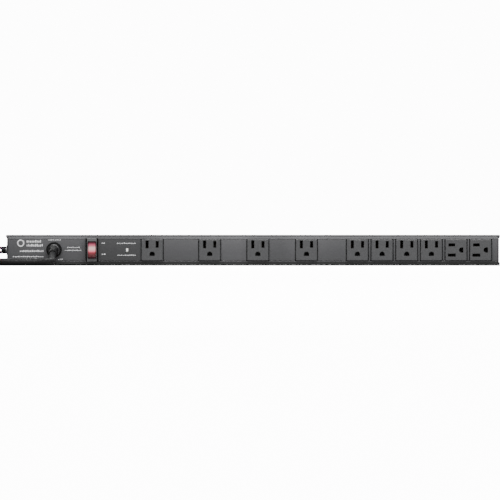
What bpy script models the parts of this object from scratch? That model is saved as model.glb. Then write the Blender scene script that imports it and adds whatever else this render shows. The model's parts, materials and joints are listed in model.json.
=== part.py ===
"""Rack power strip: a 24 in aluminium channel with ten outlets, a rocker switch and a cord.

+X runs along the strip, the outlets face -Y, +Z is up. The origin is on the bottom wall,
at the middle of the channel's length and depth. Units are metres.
"""

from math import acos, asin, cos, pi, radians, sin

import bmesh
import bpy
from mathutils import Matrix, Vector

MM = 0.001
GAP = 0.3 * MM                      # clearance between touching pieces

# ---- channel ---------------------------------------------------------------
LENGTH = 609.6 * MM
HEIGHT = 38.1 * MM
DEPTH = 44.5 * MM
WALL = 1.6 * MM
MID_Z = HEIGHT / 2
FRONT = -DEPTH / 2                  # plane of the flat face
BACK = DEPTH / 2
END_X = LENGTH / 2
FLAT_HALF = 13.0 * MM               # half height of the flat between the two grooves
GROOVE_WIDTH = 0.5 * MM
GROOVE_DEPTH = 0.5 * MM
SHOULDER_DROP = 1.0 * MM            # how far the shoulder slopes back before its corner
CORNER_RADIUS = 2.5 * MM
LIP_HEIGHT = 5.0 * MM
COVER_THICK = 1.5 * MM
PORT_Y = 6.0 * MM                   # extruded ports that take the end cap screws
PORT_HALF_WIDTH = 2.7 * MM
PORT_DROP = 11.5 * MM               # port centre, above and below mid height
PORT_DEPTH = 14.0 * MM

# ---- end caps --------------------------------------------------------------
CAP_PLATE = 1.4 * MM
CAP_RIDGE = 3.3 * MM                # ridges reach this far past the channel's end
CAP_RIDGE_HEIGHT = 4.0 * MM
CAP_PLUG = 4.5 * MM                 # rim inside the channel
BOSS_HALF = 6.2 * MM
BOSS_OUT = 3.0 * MM

# ---- fasteners -------------------------------------------------------------
SMALL_SHANK = 1.25 * MM
SMALL_HEAD = 2.7 * MM
GROUND_Y = -8.0 * MM
GROUND_HEAD_RADIUS = 4.5 * MM
GROUND_HEAD_LENGTH = 8.2 * MM
GROUND_SHANK = 2.0 * MM
WASHER_THICK = 0.6 * MM
COVER_SCREW_X = 255.0 * MM
COVER_SCREW_DROP = 15.0 * MM

# ---- outlets ---------------------------------------------------------------
WIDE_OUTLETS_X = (-125.5 * MM, -53.9 * MM, 6.1 * MM, 66.6 * MM)
CLUSTER_START_X = 130.0 * MM
CLUSTER_PITCH = 30.7 * MM
CLUSTER_COUNT = 6
TURNED_OUTLETS = (9, 10)            # the last two are turned a quarter
TURNED_SHIFT = 1.6 * MM
OUTLET_SIZE = 26.8 * MM
OUTLET_PROUD = 1.8 * MM
OUTLET_BACK = -6.0 * MM
OUTLET_SKIN = 1.8 * MM
OUTLET_FLANGE = 30.2 * MM
OPENING_WIDTH = 28.6 * MM
OPENING_HEIGHT = 27.4 * MM
BLADE_SPACING = 12.7 * MM
BLADE_RISE = 7.0 * MM               # blade slots above the outlet's middle
EARTH_DROP = 5.2 * MM               # earth hole below it
SLOT_WIDTH = 3.7 * MM
NEUTRAL_SLOT = 9.8 * MM
LINE_SLOT = 8.2 * MM
EARTH_RADIUS = 3.2 * MM
EARTH_FLAT = 2.1 * MM               # its flat side from the arch's centre

# ---- bus strips ------------------------------------------------------------
BUS_FRONT = -4.6 * MM
BUS_THICK = 0.8 * MM
BUS_HEIGHT = 3.4 * MM
BUS_START_X = -146.0 * MM
BUS_END_X = 298.0 * MM
LINE_BUS_Z = MID_Z + 9.6 * MM
NEUTRAL_BUS_Z = MID_Z + 1.7 * MM
EARTH_BUS_Z = MID_Z - 9.6 * MM
LEAF_THICK = 0.6 * MM
LEAF_OFFSET = 1.3 * MM
LEAF_TIP_Y = -18.5 * MM
LEAF_BACK_Y = BUS_FRONT - 0.6 * MM
LEAF_LENGTH = LEAF_BACK_Y - LEAF_TIP_Y
LEAF_MIDDLE_Y = (LEAF_BACK_Y + LEAF_TIP_Y) / 2
TURNED_LEAF_HALF = 3.0 * MM
LINE_LEAF = (4.5 * MM, 10.0 * MM)   # leaf's lower and upper edge above the middle
LINE_WEB_RISE = 9.0 * MM
NEUTRAL_LEAF = (1.0 * MM, 7.2 * MM)
NEUTRAL_WEB_RISE = 1.0 * MM
WEB_HALF = 0.5 * MM
EARTH_LEAF_OFFSET = 2.9 * MM
EARTH_LEAF_REACH = 3.0 * MM
EARTH_LEAF_DROP = 9.6 * MM
EARTH_WEB_HALF = 1.0 * MM
CARRIER_RIBS_X = (-105 * MM, -24 * MM, 36 * MM, 98 * MM, 176 * MM, 268 * MM)
CARRIER_THICK = 1.5 * MM
CARRIER_RIM = 1.2 * MM
CARRIER_RIB_HALF = 7.5 * MM

# ---- rocker switch ---------------------------------------------------------
SWITCH_X = -200.5 * MM
BEZEL_WIDTH = 15.6 * MM
BEZEL_HEIGHT = 29.2 * MM
BEZEL_THICK = 1.75 * MM
GUARD_WIDTH = 1.2 * MM
GUARD_RISE = 1.5 * MM
SWITCH_WIDTH = 12.8 * MM
SWITCH_HEIGHT = 24.0 * MM
SWITCH_BACK = -6.0 * MM
WELL_WIDTH = 10.6 * MM
WELL_HEIGHT = 21.6 * MM
PIVOT_Y = FRONT + 0.75 * MM
ROCKER_WIDTH = 10.0 * MM
ROCKER_RADIUS = 10.45 * MM          # swept radius of the rocker's two ends
ROCKER_FACE = 1.7 * MM              # face middle in front of the pivot
ROCKER_TILT = radians(11.0)         # the rocker rests this far from its middle position
AXLE_RADIUS = 1.1 * MM
LEVER_Y = -12.4 * MM
LEVER_TILT = radians(5.5)
TERMINAL_DROP = 6.8 * MM
TERMINAL_WIDTH = 4.8 * MM
TERMINAL_THICK = 0.8 * MM
TERMINAL_TAIL = 1.0 * MM

# ---- pilot lamp and surge board --------------------------------------------
LAMP_X = -156.7 * MM
LAMP_HALF_WIDTH = 1.7 * MM
LAMP_HALF_HEIGHT = 2.4 * MM
BOARD_X = -168.0 * MM
BOARD_SIZE = (38.0 * MM, 1.6 * MM, 28.0 * MM)
BOARD_Y = -9.0 * MM
VARISTOR_RADIUS = 5.5 * MM
VARISTOR_THICK = 4.0 * MM
VARISTORS_X = (-180.5 * MM, -168.0 * MM, -155.5 * MM)
VARISTOR_DROP = 6.0 * MM
CAPACITOR_X = (-184.0 * MM, -168.5 * MM)
CAPACITOR_DEPTH = 9.0 * MM
CAPACITOR_RISE = (3.0 * MM, 12.0 * MM)
FUSE_X = (-165.5 * MM, -155.5 * MM)
FUSE_RISE = 7.0 * MM
FUSE_RADIUS = 1.9 * MM

# ---- cord ------------------------------------------------------------------
CORD_X = -247.6 * MM
CORD_Z = 19.4 * MM
CORD_DIAMETER = 8.6 * MM
CORD_RADIUS = CORD_DIAMETER / 2
FLANGE_RADIUS = 9.6 * MM
FLANGE_THICK = 2.6 * MM
FLANGE_RECESS = 1.6 * MM            # depth of the dish that the boot leaves from
FLANGE_RECESS_RADIUS = 8.0 * MM
RELIEF_RADIUS = 7.0 * MM
RELIEF_BORE = 4.9 * MM
BOOT_RADIUS = 6.9 * MM
BOOT_END_RADIUS = 4.9 * MM
BOOT_LENGTH = 30.0 * MM
BOOT_START_Y = FRONT - 2 * GAP - FLANGE_THICK + FLANGE_RECESS
COIL_CENTRE = (-259.0 * MM, 87.0 * MM)
COIL_MEAN_RADIUS = 50.0 * MM
COIL_LIFT = 1.0 * MM                # the tie passes under the coil
COIL_COLUMNS = 2
COIL_ROWS = 3
TIE_WIDTH = 12.0 * MM
TIE_THICK = 0.7 * MM
CORD_OUTER_X = -330.0 * MM          # the cord passes the strip's left end here
CORD_FRONT_X = -245.0 * MM          # and turns back from here, in front of it
CORD_BEND_Y = -80.0 * MM
CORD_LANDING = 0.9 * MM             # its height above the surface where that turn starts
PLUG_CENTRE = Vector((-118.0 * MM, 134.0 * MM, 12.4 * MM))
PLUG_SIZE = (30.0 * MM, 24.6 * MM, 24.6 * MM)
PLUG_COLLAR = 16.0 * MM
PLUG_PIN_OFFSET = 11.9 * MM
PLUG_BLADES_Y = 3.5 * MM            # the blades' offset from the plug's middle
PLUG_BLADE_LENGTH = 17.5 * MM
PLUG_PIN_LENGTH = 20.5 * MM
PLUG_PIN_RADIUS = 2.35 * MM
PLUG_SOCKET = 8.0 * MM              # depth of the pockets that hold the blades

OUTLETS_X = list(WIDE_OUTLETS_X)
OUTLETS_X += [CLUSTER_START_X + i * CLUSTER_PITCH for i in range(CLUSTER_COUNT)]

# Orientation of a flat outline: its plane and the direction that it is extruded in.
FACING_X = Matrix(((0, 0, 1), (1, 0, 0), (0, 1, 0))).to_4x4()     # outline in Y, Z
FACING_Y = Matrix(((1, 0, 0), (0, 0, -1), (0, 1, 0))).to_4x4()    # outline in X, Z


# ---- helpers ---------------------------------------------------------------
def clear_scene():
    for item in list(bpy.data.objects):
        bpy.data.objects.remove(item)


def make_collection(name):
    collection = bpy.data.collections.new(name)
    bpy.context.scene.collection.children.link(collection)
    return collection


def make_material(name, color, roughness, metallic=0.0):
    material = bpy.data.materials.new(name)
    material.use_nodes = True
    shader = material.node_tree.nodes["Principled BSDF"]
    shader.inputs["Base Color"].default_value = (*color, 1.0)
    shader.inputs["Roughness"].default_value = roughness
    shader.inputs["Metallic"].default_value = metallic
    return material


def link(item):
    PARTS.objects.link(item)
    return item


def from_bmesh(name, shape):
    mesh = bpy.data.meshes.new(name)
    shape.to_mesh(mesh)
    shape.free()
    return link(bpy.data.objects.new(name, mesh))


def box(name, size, centre):
    """A box with its size in its mesh and its place in its location."""
    shape = bmesh.new()
    bmesh.ops.create_cube(shape, size=1.0)
    bmesh.ops.scale(shape, vec=size, verts=shape.verts)
    item = from_bmesh(name, shape)
    item.location = centre
    return item


def span(name, low, high):
    """A box between two opposite corners, given in any order."""
    low, high = Vector(low), Vector(high)
    size = [abs(length) for length in high - low]
    return box(name, size, (low + high) / 2)


def rod(name, radius, start, end, end_radius=None, sides=20):
    """A cylinder, or a cone frustum, from one point to another."""
    start, end = Vector(start), Vector(end)
    shape = bmesh.new()
    bmesh.ops.create_cone(shape, cap_ends=True, segments=sides, radius1=radius,
                          radius2=radius if end_radius is None else end_radius,
                          depth=(end - start).length)
    item = from_bmesh(name, shape)
    item.rotation_euler = (end - start).to_track_quat("Z", "Y").to_euler()
    item.location = (start + end) / 2
    return item


def curve_to_mesh(item):
    """Turn a curve object into a welded mesh object of the same name and place."""
    bpy.context.view_layer.update()
    graph = bpy.context.evaluated_depsgraph_get()
    mesh = bpy.data.meshes.new_from_object(item.evaluated_get(graph))
    shape = bmesh.new()
    shape.from_mesh(mesh)
    bmesh.ops.remove_doubles(shape, verts=shape.verts, dist=0.00001)
    bmesh.ops.dissolve_limit(shape, angle_limit=radians(0.5), verts=shape.verts,
                             edges=shape.edges)
    shape.to_mesh(mesh)
    shape.free()
    name, place = item.name, item.matrix_world.copy()
    bpy.data.objects.remove(item)
    solid = link(bpy.data.objects.new(name, mesh))
    solid.matrix_world = place
    return solid


def outline(name, points, thickness, facing, centre):
    """A flat closed outline, extruded by its thickness about a centre."""
    curve = bpy.data.curves.new(name, "CURVE")
    curve.dimensions = "2D"
    curve.fill_mode = "BOTH"
    curve.extrude = thickness / 2
    spline = curve.splines.new("POLY")
    spline.points.add(len(points) - 1)
    for point, (u, v) in zip(spline.points, points):
        point.co = (u, v, 0, 1)
    spline.use_cyclic_u = True
    item = link(bpy.data.objects.new(name, curve))
    item.matrix_world = Matrix.Translation(centre) @ facing
    return curve_to_mesh(item)


def tube(name, points, radii, resolution=3):
    """A round tube along a polyline; radii is one radius or one for each point."""
    if not isinstance(radii, (list, tuple)):
        radii = [radii] * len(points)
    curve = bpy.data.curves.new(name, "CURVE")
    curve.dimensions = "3D"
    curve.bevel_depth = radii[0]
    curve.bevel_resolution = resolution
    curve.use_fill_caps = True
    curve.twist_mode = "MINIMUM"
    spline = curve.splines.new("POLY")
    spline.points.add(len(points) - 1)
    for point, place, radius in zip(spline.points, points, radii):
        point.co = (*place, 1)
        point.radius = radius / radii[0]
    return curve_to_mesh(link(bpy.data.objects.new(name, curve)))


def baked(item):
    """Apply an object's modifiers to its mesh."""
    bpy.context.view_layer.update()
    graph = bpy.context.evaluated_depsgraph_get()
    mesh = bpy.data.meshes.new_from_object(item.evaluated_get(graph))
    item.modifiers.clear()
    item.data = mesh
    return item


def combine(item, others, operation):
    """Join or cut an object with others, which are used up."""
    for other in others:
        modifier = item.modifiers.new(operation.title(), "BOOLEAN")
        modifier.operation = operation
        modifier.object = other
        baked(item)
        bpy.data.objects.remove(other)
    return item


def cut(item, *cutters):
    return combine(item, cutters, "DIFFERENCE")


def join(item, *others):
    return combine(item, others, "UNION")


def bevelled(item, width, segments=2):
    modifier = item.modifiers.new("Bevel", "BEVEL")
    modifier.width = width
    modifier.segments = segments
    modifier.limit_method = "ANGLE"
    return baked(item)


def finish(item, material, smooth=True):
    """Give a finished piece its material and its shading."""
    item.data.materials.clear()
    item.data.materials.append(material)
    if smooth:
        item.data.shade_smooth()
        item.data.set_sharp_from_angle(angle=radians(35))
    return item


def set_origin(item, point):
    """Move an object's origin to a world point without moving its shape."""
    bpy.context.view_layer.update()
    place = item.matrix_world.copy()
    item.data.transform(Matrix.Translation(-Vector(point)) @ place)
    item.matrix_world = Matrix.Translation(point)


def arc(centre, radius, start, end, steps):
    """Points of a circular arc, from one angle to another in radians."""
    angles = [start + (end - start) * i / steps for i in range(steps + 1)]
    return [(centre[0] + radius * cos(a), centre[1] + radius * sin(a)) for a in angles]


def mirrored(half):
    """Close an outline that is symmetric about its second axis being zero."""
    return half + [(u, -v) for u, v in reversed(half)]


def smooth_route(points, spacing):
    """Points read at even spacing from a smooth curve through the given points."""
    knots = [Vector(p) for p in points]
    knots = [2 * knots[0] - knots[1]] + knots + [2 * knots[-1] - knots[-2]]
    dense = []
    for a, b, c, d in zip(knots, knots[1:], knots[2:], knots[3:]):
        for step in range(24):
            t = step / 24
            dense.append(0.5 * (2 * b + (c - a) * t + (2 * a - 5 * b + 4 * c - d) * t ** 2
                                + (3 * b - a - 3 * c + d) * t ** 3))
    dense.append(knots[-2])
    total = sum((b - a).length for a, b in zip(dense, dense[1:]))
    count = max(2, round(total / spacing))
    route, walked, target = [dense[0]], 0.0, total / count
    for a, b in zip(dense, dense[1:]):
        length = (b - a).length
        while walked + length >= target - 1e-9 and len(route) < count:
            route.append(a.lerp(b, (target - walked) / length))
            target += total / count
        walked += length
    return route + [dense[-1]]


# ---- channel, cover and caps -----------------------------------------------
def channel_half_outline():
    """The upper half of the channel's section as (y, height above the middle)."""
    half = HEIGHT / 2
    groove = FLAT_HALF + GROOVE_WIDTH
    shoulder = FRONT + SHOULDER_DROP
    corner = (shoulder + CORNER_RADIUS, half - CORNER_RADIUS)
    inner = half - WALL
    lip_front = BACK - COVER_THICK - 2 * GAP - WALL
    lip_back = BACK - COVER_THICK - 2 * GAP
    port_front = PORT_Y - PORT_HALF_WIDTH
    port_back = PORT_Y + PORT_HALF_WIDTH
    port_low = PORT_DROP - PORT_HALF_WIDTH
    outer_side = [(FRONT, FLAT_HALF), (FRONT + GROOVE_DEPTH, FLAT_HALF + 0.1 * MM),
                  (FRONT + GROOVE_DEPTH, groove), (FRONT + GROOVE_DEPTH / 2, groove + 0.4 * MM)]
    outer_side += arc(corner, CORNER_RADIUS, pi, pi / 2, 5)
    rebate = inner + 0.1 * MM
    front_inner = inner - 0.1 * MM
    outer_side += [(BACK, half), (BACK, rebate)]
    inner_side = [(lip_back, rebate), (lip_back, inner - LIP_HEIGHT),
                  (lip_front, inner - LIP_HEIGHT), (lip_front, inner),
                  (port_back, inner), (port_back, port_low),
                  (port_front, port_low), (port_front, front_inner)]
    inner_radius = CORNER_RADIUS - 1.0 * MM
    inner_side += arc((corner[0] + 0.6 * MM, front_inner - inner_radius), inner_radius,
                      pi / 2, pi, 3)
    inner_side += [(FRONT + WALL, FLAT_HALF)]
    return outer_side, inner_side


def opening_cutters():
    """Cutters for every opening in the channel's face."""
    middle_y = FRONT + WALL
    cutters = [box("outlet_opening", (OPENING_WIDTH, 6 * WALL, OPENING_HEIGHT), (x, middle_y, MID_Z))
               for x in OUTLETS_X]
    cutters.append(box("switch_opening", (SWITCH_WIDTH + 4 * GAP, 6 * WALL, SWITCH_HEIGHT + 4 * GAP),
                       (SWITCH_X, middle_y, MID_Z)))
    cutters.append(box("lamp_opening", (2 * (LAMP_HALF_WIDTH + GAP), 6 * WALL,
                                        2 * (LAMP_HALF_HEIGHT + GAP)), (LAMP_X, middle_y, MID_Z)))
    cutters.append(rod("cord_opening", RELIEF_RADIUS + GAP, (CORD_X, FRONT - WALL, CORD_Z),
                       (CORD_X, FRONT + 3 * WALL, CORD_Z)))
    return cutters


def housing_channel():
    outer_side, inner_side = channel_half_outline()
    upper = outer_side + inner_side
    lower = [(y, -z) for y, z in reversed(upper)]
    section = upper + lower
    channel = outline("housing_channel", section, LENGTH, FACING_X, (0, 0, MID_Z))
    cutters = opening_cutters()
    for end in (-1, 1):
        for side in (-1, 1):
            z = MID_Z + side * PORT_DROP
            cutters.append(rod("port_hole", SMALL_SHANK + GAP, (end * (END_X + MM), PORT_Y, z),
                               (end * (END_X - PORT_DEPTH), PORT_Y, z), sides=12))
            z = MID_Z + side * COVER_SCREW_DROP
            cutters.append(rod("lip_hole", SMALL_SHANK + GAP,
                               (end * COVER_SCREW_X, BACK, z),
                               (end * COVER_SCREW_X, BACK - 6 * MM, z), sides=12))
    return finish(cut(channel, *cutters), ALUMINIUM)


def back_cover():
    half = HEIGHT / 2 - WALL - GAP
    low = (-END_X, BACK - COVER_THICK, MID_Z - half)
    cover = span("back_cover", low, (END_X, BACK, MID_Z + half))
    cutters = [rod("screw_hole", SMALL_HEAD + 0.35 * MM, (end * COVER_SCREW_X, BACK + 0.01 * MM, z),
                   (end * COVER_SCREW_X, BACK - COVER_THICK - 0.01 * MM, z),
                   end_radius=SMALL_SHANK + 0.35 * MM, sides=16)
               for end in (-1, 1)
               for z in (MID_Z - COVER_SCREW_DROP, MID_Z + COVER_SCREW_DROP)]
    return finish(cut(cover, *cutters), ALUMINIUM)


def cover_screw(number, x, z):
    head_back = BACK - 0.05 * MM
    head = rod(f"cover_screw_{number}", SMALL_HEAD, (x, head_back, z),
               (x, BACK - COVER_THICK, z), end_radius=SMALL_SHANK, sides=16)
    shank = rod("shank", SMALL_SHANK, (x, head_back - MM, z), (x, BACK - 8 * MM, z), sides=12)
    slot = box("slot", (8 * MM, MM, 0.7 * MM), (x, BACK, z))
    return finish(cut(join(head, shank), slot), STEEL)


def end_cap(name, side):
    """A cap for one end: plate, two ridges and a rim that fits inside the channel."""
    half = HEIGHT / 2
    shoulder = FRONT + SHOULDER_DROP
    corner = (shoulder + CORNER_RADIUS, half - CORNER_RADIUS)
    upper = [(FRONT, FLAT_HALF), *arc(corner, CORNER_RADIUS, pi, pi / 2, 5), (BACK, half)]
    inner_x = END_X + GAP
    plate_x = inner_x + CAP_PLATE / 2
    plate = outline(name, mirrored(upper), CAP_PLATE, FACING_X, (side * plate_x, 0, MID_Z))
    ridge_length = CAP_RIDGE - GAP
    ridge_x = inner_x + ridge_length / 2
    for up in (-1, 1):
        ridge = box("ridge", (ridge_length, DEPTH - 2 * CORNER_RADIUS, CAP_RIDGE_HEIGHT),
                    (side * ridge_x, 0, MID_Z + up * (half - CAP_RIDGE_HEIGHT / 2 - 0.05 * MM)))
        join(plate, bevelled(ridge, 1.1 * MM))
    rim_half = OUTLET_SIZE / 2 - MM
    rim = span("rim", (side * (END_X - CAP_PLUG), FRONT + 2 * WALL, MID_Z - rim_half),
               (side * (inner_x + 0.5 * CAP_PLATE), PORT_Y - PORT_HALF_WIDTH - 2 * GAP,
                MID_Z + rim_half))
    hollow = span("hollow", (side * (END_X - 2 * CAP_PLUG), FRONT + 3.2 * WALL,
                             MID_Z - rim_half + WALL),
                  (side * inner_x, PORT_Y - PORT_HALF_WIDTH - 2 * GAP - WALL,
                   MID_Z + rim_half - WALL))
    join(plate, cut(rim, hollow))
    holes = [rod("screw_hole", SMALL_SHANK + GAP, (side * (END_X - MM), PORT_Y, z),
                 (side * (END_X + 6 * MM), PORT_Y, z), sides=12)
             for z in (MID_Z - PORT_DROP, MID_Z + PORT_DROP)]
    cut(plate, *holes)
    if side < 0:
        boss = box("boss", (BOSS_OUT - GAP, 3 * BOSS_HALF, 2 * BOSS_HALF),
                   (-inner_x - (BOSS_OUT - GAP) / 2, GROUND_Y, MID_Z))
        join(plate, bevelled(boss, MM))
        cut(plate, rod("ground_hole", GROUND_SHANK + GAP, (-END_X + MM, GROUND_Y, MID_Z),
                       (-END_X - 8 * MM, GROUND_Y, MID_Z), sides=16))
    return finish(plate, CAP_PAINT)


def end_cap_screw(number, side, z):
    head_x = END_X + GAP + CAP_PLATE + GAP
    head = rod(f"end_cap_screw_{number}", SMALL_HEAD, (side * head_x, PORT_Y, z),
               (side * (head_x + 1.5 * MM), PORT_Y, z), end_radius=SMALL_HEAD - 0.6 * MM, sides=16)
    shank = rod("shank", SMALL_SHANK, (side * (head_x + 0.5 * MM), PORT_Y, z),
                (side * (END_X - PORT_DEPTH + MM), PORT_Y, z), sides=12)
    slot = box("slot", (1.2 * MM, 8 * MM, 0.7 * MM), (side * (head_x + 1.5 * MM), PORT_Y, z))
    return finish(cut(join(head, shank), slot), STEEL)


def ground_screw():
    """Slotted binding head on the left cap, for the rack's bonding lead."""
    head_in = -END_X - BOSS_OUT - 2 * GAP - WASHER_THICK
    head_out = head_in - GROUND_HEAD_LENGTH
    head = rod("ground_screw", GROUND_HEAD_RADIUS, (head_in, GROUND_Y, MID_Z),
               (head_out, GROUND_Y, MID_Z), sides=28)
    bevelled(head, 0.7 * MM)
    shank = rod("shank", GROUND_SHANK, (head_in - MM, GROUND_Y, MID_Z),
                (-END_X + 9 * MM, GROUND_Y, MID_Z), sides=16)
    slot = box("slot", (5 * MM, 12 * MM, 1.6 * MM), (head_out, GROUND_Y, MID_Z))
    return finish(cut(join(head, shank), slot), DARK_STEEL)


def ring(name, outer, inner, start, end, material, sides=24):
    """A washer or bush between two points on its axis."""
    start, end = Vector(start), Vector(end)
    over = (end - start).normalized() * MM
    solid = rod(name, outer, start, end, sides=sides)
    bore = rod("bore", inner, start - over, end + over, sides=max(24, sides))
    return finish(cut(solid, bore), material)


def ground_washer():
    washer_in = -END_X - BOSS_OUT - GAP
    ring("ground_washer", 4.1 * MM, GROUND_SHANK + GAP, (washer_in, GROUND_Y, MID_Z),
         (washer_in - WASHER_THICK, GROUND_Y, MID_Z), STEEL)


# ---- outlets and bus strips ------------------------------------------------
def outlet_points(u, v, turned):
    """A place on an outlet's face, which may be turned a quarter anticlockwise."""
    return (TURNED_SHIFT - v, u) if turned else (u, v)


def earth_cutter(turned):
    """The arched earth hole, flat on its outer side."""
    foot = -EARTH_DROP - EARTH_FLAT
    points = arc((0, -EARTH_DROP), EARTH_RADIUS, 0, pi, 12)
    points += [(-EARTH_RADIUS, foot), (EARTH_RADIUS, foot)]
    points = [outlet_points(u, v, turned) for u, v in points]
    return outline("earth_hole", points, 8 * MM, FACING_Y, (0, FRONT, MID_Z))


def slot_cutter(u, length, turned):
    x, z = outlet_points(u, BLADE_RISE, turned)
    size = (length, 8 * MM, SLOT_WIDTH) if turned else (SLOT_WIDTH, 8 * MM, length)
    return box("blade_slot", size, (x, FRONT, MID_Z + z))


def outlet_mesh(turned):
    """One moulded outlet about x = 0: an open-backed shell with its slots and side flanges."""
    half = OUTLET_SIZE / 2
    face_y = FRONT - OUTLET_PROUD
    shell = span("outlet", (-half, face_y, MID_Z - half), (half, OUTLET_BACK, MID_Z + half))
    bevelled(shell, 0.9 * MM)
    flange_y = FRONT + WALL + GAP
    flange = span("flange", (-OUTLET_FLANGE / 2, flange_y, MID_Z - FLAT_HALF + MM),
                  (OUTLET_FLANGE / 2, flange_y + 1.5 * MM, MID_Z + FLAT_HALF - MM))
    join(shell, flange)
    inner = half - OUTLET_SKIN
    hollow = span("hollow", (-inner, face_y + OUTLET_SKIN, MID_Z - inner),
                  (inner, OUTLET_BACK + MM, MID_Z + inner))
    cut(shell, hollow, slot_cutter(-BLADE_SPACING / 2, NEUTRAL_SLOT, turned),
        slot_cutter(BLADE_SPACING / 2, LINE_SLOT, turned), earth_cutter(turned))
    shell.data.transform(shell.matrix_world)
    mesh = shell.data
    bpy.data.objects.remove(shell)
    return mesh


def outlets():
    upright, turned = outlet_mesh(False), outlet_mesh(True)
    for number, x in enumerate(OUTLETS_X, 1):
        mesh = turned if number in TURNED_OUTLETS else upright
        outlet = link(bpy.data.objects.new(f"outlet_{number}", mesh))
        outlet.location.x = x
        finish(outlet, OUTLET_PLASTIC)


def leaf_pair(x, z, low, high, turned):
    """Two contact leaves either side of a blade; low and high bound them along the slot."""
    leaves = []
    for side in (-LEAF_OFFSET, LEAF_OFFSET):
        if turned:
            leaves.append(box("leaf", (high - low, LEAF_LENGTH, LEAF_THICK),
                              (x + (low + high) / 2, LEAF_MIDDLE_Y, MID_Z + z + side)))
        else:
            leaves.append(box("leaf", (LEAF_THICK, LEAF_LENGTH, high - low),
                              (x + side, LEAF_MIDDLE_Y, MID_Z + (low + high) / 2)))
    return leaves


def bus_strip(name, z, leaves):
    strip = span(name, (BUS_START_X, BUS_FRONT, z - BUS_HEIGHT / 2),
                 (BUS_END_X, BUS_FRONT + BUS_THICK, z + BUS_HEIGHT / 2))
    return finish(join(strip, *leaves), BRASS)


def live_leaves(rise, side, low, high):
    """Leaves of the line or neutral strip: a pair at each outlet, and a web on a turned one."""
    leaves = []
    for number, outlet_x in enumerate(OUTLETS_X, 1):
        turned = number in TURNED_OUTLETS
        x, z = outlet_points(side * BLADE_SPACING / 2, BLADE_RISE, turned)
        if turned:
            leaves += leaf_pair(outlet_x + x, z, -TURNED_LEAF_HALF, TURNED_LEAF_HALF, True)
            leaves.append(span("web", (outlet_x + x - WEB_HALF, LEAF_BACK_Y - 2 * MM,
                                       MID_Z + z - LEAF_OFFSET),
                               (outlet_x + x + WEB_HALF, BUS_FRONT + BUS_THICK / 2,
                                MID_Z + rise)))
        else:
            leaves += leaf_pair(outlet_x + x, z, low, high, False)
            leaves.append(span("web", (outlet_x + x - LEAF_OFFSET, LEAF_BACK_Y - WEB_HALF,
                                       MID_Z + low),
                               (outlet_x + x + LEAF_OFFSET, BUS_FRONT + BUS_THICK / 2,
                                MID_Z + high)))
    return leaves


def earth_leaves():
    leaves = []
    for number, outlet_x in enumerate(OUTLETS_X, 1):
        turned = number in TURNED_OUTLETS
        x, z = outlet_points(0, -EARTH_DROP, turned)
        top = z + EARTH_LEAF_REACH
        for side in (-EARTH_LEAF_OFFSET, EARTH_LEAF_OFFSET):
            leaves.append(box("leaf", (LEAF_THICK, LEAF_LENGTH, top + EARTH_LEAF_DROP),
                              (outlet_x + x + side, LEAF_MIDDLE_Y,
                               MID_Z + (top - EARTH_LEAF_DROP) / 2)))
        leaves.append(span("web", (outlet_x + x - EARTH_LEAF_OFFSET, LEAF_BACK_Y - WEB_HALF,
                                   EARTH_BUS_Z - EARTH_WEB_HALF),
                           (outlet_x + x + EARTH_LEAF_OFFSET, BUS_FRONT + BUS_THICK / 2,
                            EARTH_BUS_Z + EARTH_WEB_HALF)))
    return leaves


def bus_strips():
    bus_strip("line_bus", LINE_BUS_Z, live_leaves(LINE_WEB_RISE, 1, *LINE_LEAF))
    bus_strip("neutral_bus", NEUTRAL_BUS_Z, live_leaves(NEUTRAL_WEB_RISE, -1, *NEUTRAL_LEAF))
    bus_strip("earth_bus", EARTH_BUS_Z, earth_leaves())


def bus_carrier():
    """Moulded rail that backs the outlets and holds the three strips against them."""
    front = BUS_FRONT + BUS_THICK + GAP
    back = front + CARRIER_THICK
    half = OUTLET_SIZE / 2 - GAP
    low_x, high_x = BUS_START_X + 2 * MM, BUS_END_X + MM
    carrier = span("bus_carrier", (low_x, front, MID_Z - half), (high_x, back, MID_Z + half))
    for up in (-1, 1):
        join(carrier, span("rim", (low_x, OUTLET_BACK + GAP, MID_Z + up * half),
                           (high_x, front + MM, MID_Z + up * (half - CARRIER_RIM))))
    for x in CARRIER_RIBS_X:
        join(carrier, span("rib", (x - MM, back - MM / 2, MID_Z - CARRIER_RIB_HALF),
                           (x + MM, BACK - COVER_THICK - GAP, MID_Z + CARRIER_RIB_HALF)))
    return finish(carrier, DARK_PLASTIC)


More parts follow.
